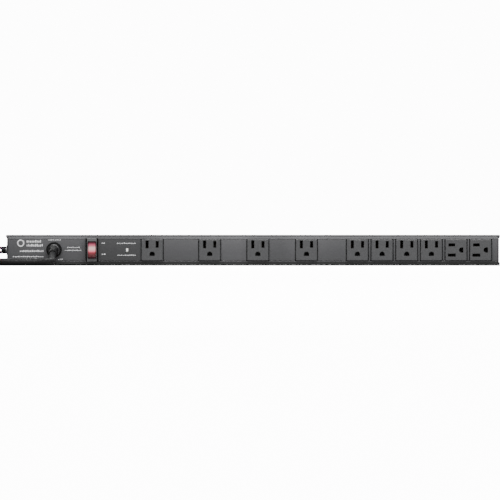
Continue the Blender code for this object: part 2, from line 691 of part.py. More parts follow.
# ---- rocker switch ---------------------------------------------------------
def switch_frame():
    """Bezel with two guard ridges, and the walls of the switch's well."""
    bezel_back = FRONT - GAP
    bezel_front = bezel_back - BEZEL_THICK
    frame = span("switch_frame",
                 (SWITCH_X - BEZEL_WIDTH / 2, bezel_front, MID_Z - BEZEL_HEIGHT / 2),
                 (SWITCH_X + BEZEL_WIDTH / 2, bezel_back, MID_Z + BEZEL_HEIGHT / 2))
    bevelled(frame, 0.5 * MM)
    for side in (-1, 1):
        outer = SWITCH_X + side * BEZEL_WIDTH / 2
        guard = span("guard", (outer - side * 0.05 * MM, bezel_front - GUARD_RISE,
                               MID_Z - BEZEL_HEIGHT / 2 + 0.6 * MM),
                     (outer - side * GUARD_WIDTH, bezel_front + 0.8 * MM,
                      MID_Z + BEZEL_HEIGHT / 2 - 0.6 * MM))
        join(frame, bevelled(guard, 0.4 * MM))
    join(frame, span("walls", (SWITCH_X - SWITCH_WIDTH / 2, bezel_back - MM,
                               MID_Z - SWITCH_HEIGHT / 2),
                     (SWITCH_X + SWITCH_WIDTH / 2, SWITCH_BACK, MID_Z + SWITCH_HEIGHT / 2)))
    latch_y = FRONT + WALL + GAP
    join(frame, span("latches", (SWITCH_X - 3 * MM, latch_y, MID_Z - FLAT_HALF - GAP),
                     (SWITCH_X + 3 * MM, latch_y + 3 * MM, MID_Z + FLAT_HALF + GAP)))
    well = box("well", (WELL_WIDTH, DEPTH, WELL_HEIGHT), (SWITCH_X, FRONT, MID_Z))
    reach = SWITCH_WIDTH / 2 + MM
    axle_hole = rod("axle_hole", AXLE_RADIUS + GAP, (SWITCH_X - reach, PIVOT_Y, MID_Z),
                    (SWITCH_X + reach, PIVOT_Y, MID_Z), sides=16)
    cut(frame, well)
    return finish(cut(frame, axle_hole), BLACK_PLASTIC)


def switch_base():
    front = SWITCH_BACK + GAP
    back = front + 2.5 * MM
    base = span("switch_base", (SWITCH_X - SWITCH_WIDTH / 2, front, MID_Z - SWITCH_HEIGHT / 2),
                (SWITCH_X + SWITCH_WIDTH / 2, back, MID_Z + SWITCH_HEIGHT / 2))
    slots = [box("terminal_slot", (TERMINAL_WIDTH + 2 * GAP, DEPTH / 4, TERMINAL_THICK + 2 * GAP),
                 (SWITCH_X, (front + back) / 2, MID_Z + up * TERMINAL_DROP))
             for up in (-1, 0, 1)]
    return finish(cut(base, *slots), DARK_PLASTIC)


def switch_terminal(name, z, tip_y):
    """A blade through the switch base, with a contact pad under the lever."""
    blade = span(name, (SWITCH_X - TERMINAL_WIDTH / 2, tip_y + 0.4 * MM, z - TERMINAL_THICK / 2),
                 (SWITCH_X + TERMINAL_WIDTH / 2, TERMINAL_TAIL, z + TERMINAL_THICK / 2))
    pad = rod("pad", 1.3 * MM, (SWITCH_X, tip_y, z), (SWITCH_X, tip_y + MM, z), sides=14)
    return finish(join(blade, pad), BRASS)


def rocker():
    """Two shallow wings meeting at the middle, with ends that sweep a circle about the pivot."""
    slope = sin(ROCKER_TILT) / cos(ROCKER_TILT)
    a, b, c = 1 + slope ** 2, 2 * ROCKER_FACE * slope, ROCKER_FACE ** 2 - ROCKER_RADIUS ** 2
    tip_z = (-b + (b * b - 4 * a * c) ** 0.5) / (2 * a)
    skirt_y = 3.4 * MM
    start = acos(tip_z / ROCKER_RADIUS)
    end = asin(skirt_y / ROCKER_RADIUS)
    side = [(ROCKER_RADIUS * sin(t), ROCKER_RADIUS * cos(t))
            for t in [-start + (start + end) * i / 6 for i in range(7)]]
    half = [(-ROCKER_FACE, 0.0), *side, (skirt_y, 2.6 * MM), (5.6 * MM, 1.9 * MM)]
    section = half + [(y, -z) for y, z in reversed(half[1:])]
    pivot = Vector((SWITCH_X, PIVOT_Y, MID_Z))
    body = outline("rocker", section, ROCKER_WIDTH, FACING_X, pivot)
    bevelled(body, 0.5 * MM)
    axle = rod("axle", AXLE_RADIUS, pivot - Vector((6 * MM, 0, 0)),
               pivot + Vector((6 * MM, 0, 0)), sides=16)
    pocket = span("lamp_pocket", pivot + Vector((-3.2 * MM, -0.6 * MM, 3.6 * MM)),
                  pivot + Vector((3.2 * MM, 6 * MM, 9.0 * MM)))
    bore = rod("plunger_bore", 1.2 * MM, pivot + Vector((0, 1.8 * MM, 0)),
               pivot + Vector((0, 8 * MM, 0)), sides=14)
    cut(join(body, axle), pocket, bore)
    return finish(body, RED_LENS)


def on_rocker(item, pivot, angle):
    """Turn a piece about an X axis through its pivot, with its origin on that axis."""
    set_origin(item, pivot)
    item.rotation_euler.x = angle


def rocker_switch():
    pivot = Vector((SWITCH_X, PIVOT_Y, MID_Z))
    lamp = finish(rod("neon_lamp", 1.5 * MM, pivot + Vector((0, 1.4 * MM, 4.1 * MM)),
                      pivot + Vector((0, 1.4 * MM, 8.6 * MM)), sides=14), GLASS)
    plunger = finish(rod("rocker_plunger", 0.9 * MM, pivot + Vector((0, 2.2 * MM, 0)),
                         pivot + Vector((0, 8.2 * MM, 0)), sides=12), DARK_PLASTIC)
    for item in (rocker(), lamp, plunger):
        on_rocker(item, pivot, -ROCKER_TILT)
    lever_pivot = Vector((SWITCH_X, LEVER_Y, MID_Z))
    lever = finish(box("contact_lever", (4.6 * MM, TERMINAL_THICK, 15.0 * MM), lever_pivot), BRASS)
    on_rocker(lever, lever_pivot, LEVER_TILT)
    switch_frame()
    switch_base()
    lever_back = LEVER_Y + TERMINAL_THICK / 2 + GAP
    switch_terminal("terminal_line_in", MID_Z, lever_back + 0.2 * MM)
    switch_terminal("terminal_line_out", MID_Z - TERMINAL_DROP, lever_back + 0.85 * MM)
    switch_terminal("terminal_lamp", MID_Z + TERMINAL_DROP, lever_back + 2.4 * MM)


# ---- pilot lamp and surge board --------------------------------------------
def pilot_lamp():
    """Oval lens in the face, with a shoulder behind it and a stem down to the board."""
    stem = span("pilot_lamp", (LAMP_X - LAMP_HALF_WIDTH, FRONT - 0.9 * MM, MID_Z - LAMP_HALF_HEIGHT),
                (LAMP_X + LAMP_HALF_WIDTH, BOARD_Y - BOARD_SIZE[1] / 2 - GAP,
                 MID_Z + LAMP_HALF_HEIGHT))
    bevelled(stem, 0.8 * MM, 3)
    shoulder_y = FRONT + WALL + GAP
    shoulder = span("shoulder", (LAMP_X - 3 * MM, shoulder_y, MID_Z - 4.5 * MM),
                    (LAMP_X + 3 * MM, shoulder_y + 1.2 * MM, MID_Z + 4.5 * MM))
    return finish(join(stem, shoulder), CLEAR_LENS)


def surge_board():
    board = finish(box("surge_board", BOARD_SIZE, (BOARD_X, BOARD_Y, MID_Z)), GREEN_BOARD)
    back = BOARD_Y + BOARD_SIZE[1] / 2 + GAP
    for number, x in enumerate(VARISTORS_X, 1):
        z = MID_Z - VARISTOR_DROP
        disc = rod(f"varistor_{number}", VARISTOR_RADIUS, (x, back, z),
                   (x, back + VARISTOR_THICK, z), sides=24)
        finish(bevelled(disc, 1.0 * MM), BLUE_EPOXY)
    capacitor = span("filter_capacitor", (CAPACITOR_X[0], back, MID_Z + CAPACITOR_RISE[0]),
                     (CAPACITOR_X[1], back + CAPACITOR_DEPTH, MID_Z + CAPACITOR_RISE[1]))
    finish(bevelled(capacitor, 0.6 * MM), YELLOW_PLASTIC)
    fuse_y, fuse_z = back + FUSE_RADIUS + 0.1 * MM, MID_Z + FUSE_RISE
    finish(rod("thermal_fuse", FUSE_RADIUS, (FUSE_X[0], fuse_y, fuse_z),
               (FUSE_X[1], fuse_y, fuse_z), sides=16), WHITE_PLASTIC)
    return board


# ---- internal wires --------------------------------------------------------
def internal_wires():
    bore_y = FRONT + 3 * MM
    bus_y = BUS_FRONT + BUS_THICK / 2
    entry_x = BUS_START_X - 2 * GAP
    run_in = entry_x - 2.5 * MM
    ground_x = -END_X + 9.5 * MM
    tail = TERMINAL_TAIL + GAP
    routes = {
        "line_wire": (BLACK_WIRE, [
            (CORD_X, bore_y, CORD_Z + 2.6 * MM), (CORD_X, -8 * MM, CORD_Z + 2.6 * MM),
            (-240 * MM, 6 * MM, 23 * MM), (-214 * MM, 11 * MM, 21 * MM),
            (SWITCH_X - 2 * MM, 9 * MM, MID_Z), (SWITCH_X, tail, MID_Z)]),
        "switched_wire": (BLACK_WIRE, [
            (SWITCH_X, tail, MID_Z - TERMINAL_DROP),
            (SWITCH_X + MM, 9.5 * MM, MID_Z - TERMINAL_DROP + MM), (-190 * MM, 12 * MM, 16 * MM),
            (-170 * MM, 12 * MM, 25 * MM), (-156 * MM, 10 * MM, 25 * MM),
            (-153 * MM, 2 * MM, 25.5 * MM), (run_in, bus_y, LINE_BUS_Z), (entry_x, bus_y, LINE_BUS_Z)]),
        "neutral_wire": (WHITE_WIRE, [
            (CORD_X + 2.3 * MM, bore_y, CORD_Z - 1.3 * MM),
            (CORD_X + 2.3 * MM, -8 * MM, CORD_Z - 1.3 * MM), (-236 * MM, 9 * MM, 18 * MM),
            (-215 * MM, 16 * MM, 18 * MM), (-160 * MM, 16 * MM, 20 * MM),
            (-153 * MM, 4 * MM, NEUTRAL_BUS_Z), (run_in, bus_y, NEUTRAL_BUS_Z),
            (entry_x, bus_y, NEUTRAL_BUS_Z)]),
        "bonding_wire": (GREEN_WIRE, [
            (CORD_X - 2.3 * MM, bore_y, CORD_Z - 1.3 * MM),
            (CORD_X - 2.3 * MM, -9 * MM, CORD_Z - 1.3 * MM), (-258 * MM, 2 * MM, 20 * MM),
            (-280 * MM, -4 * MM, 21 * MM), (ground_x, GROUND_Y, MID_Z + 1.6 * MM)]),
        "earth_wire": (GREEN_WIRE, [
            (ground_x, GROUND_Y, MID_Z - 1.6 * MM), (-280 * MM, -2 * MM, 14 * MM),
            (-255 * MM, 10 * MM, 12.5 * MM), (-210 * MM, 16 * MM, 12.5 * MM),
            (-160 * MM, 14 * MM, 13 * MM), (-153 * MM, 4 * MM, 12.5 * MM),
            (run_in, bus_y, EARTH_BUS_Z), (entry_x, bus_y, EARTH_BUS_Z)]),
    }
    for name, (material, points) in routes.items():
        finish(tube(name, smooth_route(points, 5 * MM), 1.2 * MM, resolution=1), material)


# ---- cord and plug ---------------------------------------------------------
def cord_route():
    """The cord's hand-set points from the boot to the coil, on the surface where it can be."""
    floor = CORD_RADIUS
    outer = COIL_CENTRE[0] - COIL_MEAN_RADIUS - CORD_RADIUS
    points = [
        (CORD_X, BOOT_START_Y, CORD_Z), (CORD_X, -35 * MM, CORD_Z - 0.5 * MM),
        (CORD_X + 0.3 * MM, -47 * MM, 16.1 * MM), (CORD_X + MM, -59 * MM, 11 * MM),
        (CORD_X + 1.7 * MM, -70 * MM, 7 * MM),
    ]
    bend_x = (CORD_OUTER_X + CORD_FRONT_X) / 2
    reach = (CORD_FRONT_X - CORD_OUTER_X) / 2
    for step in range(9):
        turned = pi * step / 8
        height = floor if step else floor + CORD_LANDING
        points.append((bend_x + reach * cos(turned), CORD_BEND_Y - reach * sin(turned), height))
    return points + [
        (CORD_OUTER_X, -52 * MM, floor), (CORD_OUTER_X, -26 * MM, floor),
        (CORD_OUTER_X, 0, floor), (CORD_OUTER_X + 2.2 * MM, 15 * MM, floor),
        (CORD_OUTER_X + 7.0 * MM, 29 * MM, floor), (outer - 4.6 * MM, 42 * MM, floor),
        (outer - 1.2 * MM, 56 * MM, floor),
    ]


def tail_route():
    """From the top of the coil down to the surface and up into the plug."""
    top_z = COIL_LIFT + 5 * CORD_RADIUS
    leave_y = COIL_CENTRE[1] + COIL_MEAN_RADIUS + CORD_RADIUS
    plug_in = PLUG_CENTRE.x - PLUG_SIZE[0] / 2 - PLUG_COLLAR - GAP
    return [
        (COIL_CENTRE[0] + 33 * MM, leave_y, top_z - 2.6 * MM),
        (COIL_CENTRE[0] + 45 * MM, leave_y - 0.3 * MM, top_z - 8.2 * MM),
        (COIL_CENTRE[0] + 57 * MM, leave_y - 1.4 * MM, top_z - 13.6 * MM),
        (COIL_CENTRE[0] + 69 * MM, leave_y - 3.2 * MM, top_z - 15.9 * MM),
        (COIL_CENTRE[0] + 82 * MM, PLUG_CENTRE.y + 1.9 * MM, PLUG_CENTRE.z - 4.4 * MM),
        (COIL_CENTRE[0] + 95 * MM, PLUG_CENTRE.y + 0.3 * MM, PLUG_CENTRE.z - 0.8 * MM),
        (plug_in - 5 * MM, PLUG_CENTRE.y, PLUG_CENTRE.z), (plug_in, PLUG_CENTRE.y, PLUG_CENTRE.z),
    ]


def cord_pieces():
    route = smooth_route(cord_route(), MM)
    boot_end = round(BOOT_LENGTH / MM)
    boot_points = route[:boot_end + 1:5]
    steps = len(boot_points) - 1
    radii = [BOOT_RADIUS + (BOOT_END_RADIUS - BOOT_RADIUS) * i / steps for i in range(steps + 1)]
    finish(tube("cord_boot", boot_points, radii, resolution=4), RUBBER)
    cord_start = route[boot_end] + (route[boot_end + 1] - route[boot_end]).normalized() * GAP
    points = [cord_start] + smooth_route([tuple(p) for p in route[boot_end + 8::10]]
                                         + [tuple(route[-1])], 2.2 * CORD_DIAMETER)
    finish(tube("cord", points, CORD_RADIUS, resolution=3), RUBBER)
    tail = smooth_route(tail_route(), 2 * CORD_DIAMETER)
    finish(tube("cord_tail", tail, CORD_RADIUS, resolution=3), RUBBER)
    centre = (*COIL_CENTRE, COIL_LIFT)
    reach = COIL_COLUMNS * CORD_RADIUS
    top = (*COIL_CENTRE, COIL_LIFT + COIL_ROWS * CORD_DIAMETER)
    ring("cord_coil", COIL_MEAN_RADIUS + reach, COIL_MEAN_RADIUS - reach, centre, top,
         RUBBER, sides=48)


def cord_tie():
    """Strap round the coil's section, on the side towards +X."""
    x = COIL_CENTRE[0] + COIL_MEAN_RADIUS
    reach = COIL_COLUMNS * CORD_RADIUS
    top = COIL_LIFT + COIL_ROWS * CORD_DIAMETER + GAP
    inner_low = x - reach - 3.5 * GAP
    inner_high = x + reach + GAP
    loop = span("cord_tie", (inner_low - TIE_THICK, COIL_CENTRE[1] - TIE_WIDTH / 2, 0),
                (inner_high + TIE_THICK, COIL_CENTRE[1] + TIE_WIDTH / 2, top + TIE_THICK))
    hollow = span("hollow", (inner_low, COIL_CENTRE[1] - TIE_WIDTH, TIE_THICK),
                  (inner_high, COIL_CENTRE[1] + TIE_WIDTH, top))
    return finish(cut(loop, hollow), DARK_PLASTIC)


def strain_relief():
    start = (CORD_X, FRONT - GAP, CORD_Z)
    flange = rod("strain_relief", FLANGE_RADIUS, start, (CORD_X, FRONT - GAP - FLANGE_THICK, CORD_Z),
                 sides=32)
    bevelled(flange, 0.7 * MM)
    dish = rod("dish", FLANGE_RECESS_RADIUS, (CORD_X, FRONT - GAP - FLANGE_THICK - MM, CORD_Z),
               (CORD_X, FRONT - GAP - FLANGE_THICK + FLANGE_RECESS, CORD_Z), sides=28)
    cut(flange, dish)
    sleeve = rod("sleeve", RELIEF_RADIUS, (CORD_X, FRONT - 2 * GAP, CORD_Z),
                 (CORD_X, FRONT + 9 * MM, CORD_Z), sides=24)
    bore = rod("bore", RELIEF_BORE, (CORD_X, FRONT - 5 * MM, CORD_Z),
               (CORD_X, FRONT + 12 * MM, CORD_Z), sides=24)
    finish(cut(join(flange, sleeve), bore), BLACK_PLASTIC)
    ring("relief_nut", 9.4 * MM, RELIEF_RADIUS + GAP, (CORD_X, FRONT + WALL + GAP, CORD_Z),
         (CORD_X, FRONT + WALL + 3.3 * MM, CORD_Z), BLACK_PLASTIC, sides=6)


def plug():
    body = box("plug_body", PLUG_SIZE, PLUG_CENTRE)
    bevelled(body, 3.6 * MM, 3)
    back = PLUG_CENTRE - Vector((PLUG_SIZE[0] / 2, 0, 0))
    collar = rod("collar", BOOT_END_RADIUS + 0.6 * MM, back - Vector((PLUG_COLLAR, 0, 0)),
                 back + Vector((2 * MM, 0, 0)), end_radius=8.4 * MM, sides=24)
    join(body, collar)
    face = PLUG_CENTRE + Vector((PLUG_SIZE[0] / 2, 0, 0))
    blades = {"plug_neutral_blade": (BLADE_SPACING / 2, 7.9 * MM),
              "plug_line_blade": (-BLADE_SPACING / 2, 6.35 * MM)}
    for name, (rise, width) in blades.items():
        middle = face + Vector(((PLUG_BLADE_LENGTH - PLUG_SOCKET + GAP) / 2, PLUG_BLADES_Y, rise))
        length = PLUG_BLADE_LENGTH + PLUG_SOCKET - GAP
        cut(body, box("pocket", (2 * PLUG_SOCKET, width + 2 * GAP, 1.5 * MM + 2 * GAP),
                      face + Vector((0, PLUG_BLADES_Y, rise))))
        finish(bevelled(box(name, (length, width, 1.5 * MM), middle), 0.5 * MM), BRASS)
    pin_start = face + Vector((GAP - PLUG_SOCKET, PLUG_BLADES_Y - PLUG_PIN_OFFSET, 0))
    pin_end = face + Vector((PLUG_PIN_LENGTH, PLUG_BLADES_Y - PLUG_PIN_OFFSET, 0))
    cut(body, rod("pocket", PLUG_PIN_RADIUS + GAP, pin_start - Vector((GAP, 0, 0)),
                  pin_end, sides=20))
    finish(bevelled(rod("plug_earth_pin", PLUG_PIN_RADIUS, pin_start, pin_end, sides=20), 0.7 * MM),
           BRASS)
    return finish(body, RUBBER)


# ---- assembly --------------------------------------------------------------

clear_scene()
PARTS = make_collection("rack_power_strip")

ALUMINIUM = make_material("aluminium", (0.13, 0.13, 0.135), 0.42, 0.9)
CAP_PAINT = make_material("cap_paint", (0.03, 0.03, 0.032), 0.45)
STEEL = make_material("steel", (0.55, 0.55, 0.56), 0.3, 1.0)
DARK_STEEL = make_material("dark_steel", (0.03, 0.03, 0.03), 0.4, 0.8)
BRASS = make_material("brass", (0.72, 0.52, 0.24), 0.3, 1.0)
OUTLET_PLASTIC = make_material("outlet_plastic", (0.11, 0.11, 0.115), 0.5)
BLACK_PLASTIC = make_material("black_plastic", (0.02, 0.02, 0.02), 0.45)
DARK_PLASTIC = make_material("dark_plastic", (0.05, 0.05, 0.05), 0.6)
WHITE_PLASTIC = make_material("white_plastic", (0.8, 0.8, 0.78), 0.5)
YELLOW_PLASTIC = make_material("yellow_plastic", (0.75, 0.55, 0.08), 0.45)
BLUE_EPOXY = make_material("blue_epoxy", (0.03, 0.12, 0.45), 0.35)
GREEN_BOARD = make_material("green_board", (0.02, 0.2, 0.07), 0.4)
RED_LENS = make_material("red_lens", (0.5, 0.03, 0.04), 0.2)
CLEAR_LENS = make_material("clear_lens", (0.85, 0.85, 0.8), 0.1)
GLASS = make_material("glass", (0.9, 0.6, 0.4), 0.05)
RUBBER = make_material("rubber", (0.015, 0.015, 0.016), 0.55)
BLACK_WIRE = make_material("black_wire", (0.02, 0.02, 0.02), 0.5)
WHITE_WIRE = make_material("white_wire", (0.85, 0.85, 0.85), 0.5)
GREEN_WIRE = make_material("green_wire", (0.03, 0.35, 0.08), 0.5)

housing_channel()
back_cover()
for number, (end, up) in enumerate(((-1, -1), (-1, 1), (1, -1), (1, 1)), 1):
    cover_screw(number, end * COVER_SCREW_X, MID_Z + up * COVER_SCREW_DROP)
    end_cap_screw(number, end, MID_Z + up * PORT_DROP)
end_cap("left_end_cap", -1)
end_cap("right_end_cap", 1)
ground_screw()
ground_washer()
outlets()
bus_strips()
bus_carrier()
rocker_switch()
pilot_lamp()
surge_board()
internal_wires()
strain_relief()
cord_pieces()
cord_tie()
plug()
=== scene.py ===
"""Looks of the rack power strip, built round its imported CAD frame. Units are metres."""

import json
import random
from math import cos, pi, radians, sin, tau

import bmesh
import bpy
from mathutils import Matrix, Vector


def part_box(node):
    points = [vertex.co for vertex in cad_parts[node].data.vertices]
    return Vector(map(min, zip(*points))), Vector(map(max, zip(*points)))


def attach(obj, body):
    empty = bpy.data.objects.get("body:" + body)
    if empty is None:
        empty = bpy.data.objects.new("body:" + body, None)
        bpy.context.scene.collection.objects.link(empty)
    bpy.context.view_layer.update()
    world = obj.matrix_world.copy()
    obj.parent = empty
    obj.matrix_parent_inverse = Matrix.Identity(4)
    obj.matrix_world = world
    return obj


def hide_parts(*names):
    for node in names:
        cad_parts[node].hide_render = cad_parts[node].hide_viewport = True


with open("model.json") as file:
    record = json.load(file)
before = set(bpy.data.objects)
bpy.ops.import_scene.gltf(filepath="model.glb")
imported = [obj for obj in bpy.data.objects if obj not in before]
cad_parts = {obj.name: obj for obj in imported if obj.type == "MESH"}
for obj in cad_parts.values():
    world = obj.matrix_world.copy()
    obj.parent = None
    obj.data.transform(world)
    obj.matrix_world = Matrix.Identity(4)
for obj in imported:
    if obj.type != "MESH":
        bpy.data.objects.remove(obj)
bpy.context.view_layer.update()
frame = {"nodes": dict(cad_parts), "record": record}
NODES = frame["nodes"]
MM = 0.001

# ---- places read from the frame ---------------------------------------------
CHANNEL_LOW, CHANNEL_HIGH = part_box("housing_channel")
FRONT = CHANNEL_LOW.y
BACK = CHANNEL_HIGH.y
MID_Z = (CHANNEL_LOW.z + CHANNEL_HIGH.z) / 2
END_X = CHANNEL_HIGH.x
RELIEF_LOW, RELIEF_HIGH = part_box("strain_relief")
CORD_X = (RELIEF_LOW.x + RELIEF_HIGH.x) / 2
CORD_Z = (RELIEF_LOW.z + RELIEF_HIGH.z) / 2
SWITCH_LOW, SWITCH_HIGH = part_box("switch_frame")
SWITCH_X = (SWITCH_LOW.x + SWITCH_HIGH.x) / 2
LAMP_LOW, LAMP_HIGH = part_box("pilot_lamp")
LAMP_X = (LAMP_LOW.x + LAMP_HIGH.x) / 2
OUTLET_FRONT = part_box("outlet_1")[0].y
COIL_LOW, COIL_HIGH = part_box("cord_coil")
COIL_CENTRE = (COIL_LOW + COIL_HIGH) / 2
PLUG_LOW, PLUG_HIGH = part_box("plug_body")
PLUG_CENTRE = (PLUG_LOW + PLUG_HIGH) / 2

# ---- cord facts --------------------------------------------------------------
CORD_DIAMETER = 8.6 * MM
CORD_RADIUS = CORD_DIAMETER / 2

# ---- finish facts: linear colours, texture scales per metre, depths in metres --------
HOUSING_COLOR = (0.060, 0.060, 0.063)
BEZEL_COLOR = (0.068, 0.068, 0.070)
OUTLET_COLOR = (0.040, 0.040, 0.042)
DISH_GREY = (0.05, 0.05, 0.052)
BOOT_LIT_GREY = (0.055, 0.055, 0.057)
BOOT_SHADE_BLACK = (0.003, 0.003, 0.003)
SLOT_SHADE_BLACK = (0.003, 0.003, 0.003)
DEEP_BLACK = (0.002, 0.002, 0.002)
RESIST_GREEN = (0.02, 0.16, 0.06)
TRACK_GREEN = (0.03, 0.20, 0.07)
TRACK_EDGE_GREEN = (0.05, 0.26, 0.10)
USUAL_GLOSS = 0.5
MOULD_GRAIN = 1800
MOULD_DEPTH = 0.00004
RUBBER_GRAIN = 2200
RUBBER_DEPTH = 0.00004
PAINTED_BAND_DEPTH = (2.5 * MM, 4 * MM)         # how far in the face's painted light and shade bands start to fade, and end
SLOT_SHADE_FADE = (0.9 * MM, 1.5 * MM)        # how deep in an outlet the painted shade begins, and is full
BOOT_SHADE_FADE = (5 * MM, 13 * MM)           # how far out the boot's painted shade begins, and is full
GUARD_START = 0.76                      # where the bezel's guard ridges begin, as a share
GUARD_FULL = 0.78
GUARD_GLOSS = 0.06
ROCKER_HALF_HEIGHT = 10.5 * MM
ROCKER_HALF_WIDTH = 5 * MM
LAMP_HALF_HEIGHT = 2.4 * MM
LAMP_HALF_WIDTH = 1.7 * MM
ROCKER_GLOW_AND_REFLECTION = 1.3
LAMP_GLOW = 2.2


# ---- node-material helpers ---------------------------------------------------
def opaque(value):
    """A colour or a grey value as the four numbers that a node takes."""
    return (*value, 1) if isinstance(value, tuple) else (value, value, value, 1)


class Shader:
    """A Principled material with a few short calls for its procedural detail."""

    def __init__(self, name, color, roughness, metallic=0.0, **inputs):
        self.material = bpy.data.materials.new(name)
        self.material.use_nodes = True
        self.tree = self.material.node_tree
        self.bsdf = self.tree.nodes["Principled BSDF"]
        self.bsdf.inputs["Base Color"].default_value = opaque(color)
        self.bsdf.inputs["Roughness"].default_value = roughness
        self.bsdf.inputs["Metallic"].default_value = metallic
        for key, value in inputs.items():
            self.bsdf.inputs[key.replace("_", " ")].default_value = value
        self.color = color
        self.last_normal = None
        self.coordinates = self.node("ShaderNodeTexCoord").outputs["Object"]

    def node(self, kind, **settings):
        """A new node, with each setting given to its input or else to its property."""
        made = self.tree.nodes.new(kind)
        for key, value in settings.items():
            if key in made.inputs:
                made.inputs[key].default_value = value
            else:
                setattr(made, key, value)
        return made

    def link(self, source, target):
        self.tree.links.new(source, target)

    def stretched(self, scale):
        mapping = self.node("ShaderNodeMapping")
        mapping.inputs["Scale"].default_value = scale
        self.link(self.coordinates, mapping.inputs["Vector"])
        return mapping.outputs["Vector"]

    def noise(self, scale, detail=3.0, stretch=(1, 1, 1)):
        made = self.node("ShaderNodeTexNoise", Scale=scale, Detail=detail)
        self.link(self.stretched(stretch), made.inputs["Vector"])
        return made.outputs["Fac"]

    def ramp(self, source, low, high, start=0.3, end=0.7):
        """Map a texture to a colour, or to a grey value, between two stops."""
        made = self.node("ShaderNodeValToRGB")
        first, last = made.color_ramp.elements
        first.position, last.position = start, end
        first.color, last.color = opaque(low), opaque(high)
        self.link(source, made.inputs["Fac"])
        return made.outputs["Color"]

    def stops(self, source, pairs):
        """A grey or colour ramp with any number of stops."""
        made = self.node("ShaderNodeValToRGB")
        for place, _ in pairs[1:-1]:
            made.color_ramp.elements.new(place)
        for element, (place, value) in zip(made.color_ramp.elements, pairs):
            element.position = place
            element.color = opaque(value)
        self.link(source, made.inputs["Fac"])
        return made.outputs["Color"]

    def feed_colors(self, made, first, second):
        """Give a mix node its two colours, each a tuple or a socket; return its result."""
        sockets = [i for i in made.inputs if i.type == "RGBA"]
        for value, target in zip((first, second), sockets):
            if isinstance(value, tuple):
                target.default_value = opaque(value)
            else:
                self.link(value, target)
        return [o for o in made.outputs if o.type == "RGBA"][0]

    def multiplied(self, first, second):
        made = self.node("ShaderNodeMix", data_type="RGBA", blend_type="MULTIPLY")
        made.inputs["Factor"].default_value = 1.0
        return self.feed_colors(made, first, second)

    def mixed(self, factor, first, second):
        made = self.node("ShaderNodeMix", data_type="RGBA")
        self.link(factor, made.inputs["Factor"])
        return self.feed_colors(made, first, second)

    def between(self, axis, start, end):
        """An object coordinate mapped to 0 at one place and 1 at another."""
        made = self.node("ShaderNodeMapRange")
        made.inputs["From Min"].default_value = start
        made.inputs["From Max"].default_value = end
        self.link(self.part(axis), made.inputs["Value"])
        return made.outputs["Result"]

    def part(self, axis):
        """One object coordinate, in metres."""
        made = self.node("ShaderNodeSeparateXYZ")
        self.link(self.coordinates, made.inputs["Vector"])
        return made.outputs[axis]

    def away(self, axis, middle, reach):
        """Distance from a plane along an axis, from 0 on it to 1 at the given reach."""
        offset = self.node("ShaderNodeMath", operation="SUBTRACT")
        self.link(self.part(axis), offset.inputs[0])
        offset.inputs[1].default_value = middle
        size = self.node("ShaderNodeMath", operation="ABSOLUTE")
        self.link(offset.outputs["Value"], size.inputs[0])
        scaled = self.node("ShaderNodeMath", operation="DIVIDE", use_clamp=True)
        self.link(size.outputs["Value"], scaled.inputs[0])
        scaled.inputs[1].default_value = reach
        return scaled.outputs["Value"]

    def vector_math(self, *steps):
        """The coordinates after some steps, each an operation and its second vector."""
        source = self.coordinates
        for operation, value in steps:
            step = self.node("ShaderNodeVectorMath", operation=operation)
            self.link(source, step.inputs[0])
            if value:
                step.inputs[1].default_value = value
            source = step.outputs["Value" if operation == "LENGTH" else "Vector"]
        return source

    def steepness(self):
        """How far the surface turns from upright (0) to level (1)."""
        place = self.node("ShaderNodeTexCoord")
        parts = self.node("ShaderNodeSeparateXYZ")
        self.link(place.outputs["Normal"], parts.inputs["Vector"])
        size = self.node("ShaderNodeMath", operation="ABSOLUTE")
        self.link(parts.outputs["Z"], size.inputs[0])
        return size.outputs["Value"]

    def vary_color(self, source, amount):
        """Darken and lighten the material's own colour by a share."""
        dark = tuple(c * (1 - amount) for c in self.color)
        light = tuple(min(1, c * (1 + amount)) for c in self.color)
        self.link(self.ramp(source, dark, light), self.bsdf.inputs["Base Color"])

    def vary_roughness(self, source, low, high):
        self.link(self.ramp(source, low, high), self.bsdf.inputs["Roughness"])

    def bump(self, source, distance, strength=1.0):
        made = self.node("ShaderNodeBump", Distance=distance, Strength=strength)
        self.link(source, made.inputs["Height"])
        if self.last_normal is not None:
            self.link(self.last_normal, made.inputs["Normal"])
        self.last_normal = made.outputs["Normal"]
        self.link(self.last_normal, self.bsdf.inputs["Normal"])

    def fade_gloss(self, factor, low):
        """Let the specular level fall from its usual value as a factor rises."""
        self.link(self.mixed(factor, (USUAL_GLOSS,) * 3, (low,) * 3),
                  self.bsdf.inputs["Specular IOR Level"])

    def mould_skin(self, low, high, grain=MOULD_GRAIN, depth=MOULD_DEPTH):
        """The fine spark-eroded surface of moulded plastic, between two roughnesses."""
        fine = self.noise(grain, 3)
        self.vary_roughness(fine, low, high)
        self.bump(fine, depth, 0.6)

    def rubber_skin(self):
        """Fine orange peel."""
        self.bump(self.noise(RUBBER_GRAIN, 3), RUBBER_DEPTH, 0.5)


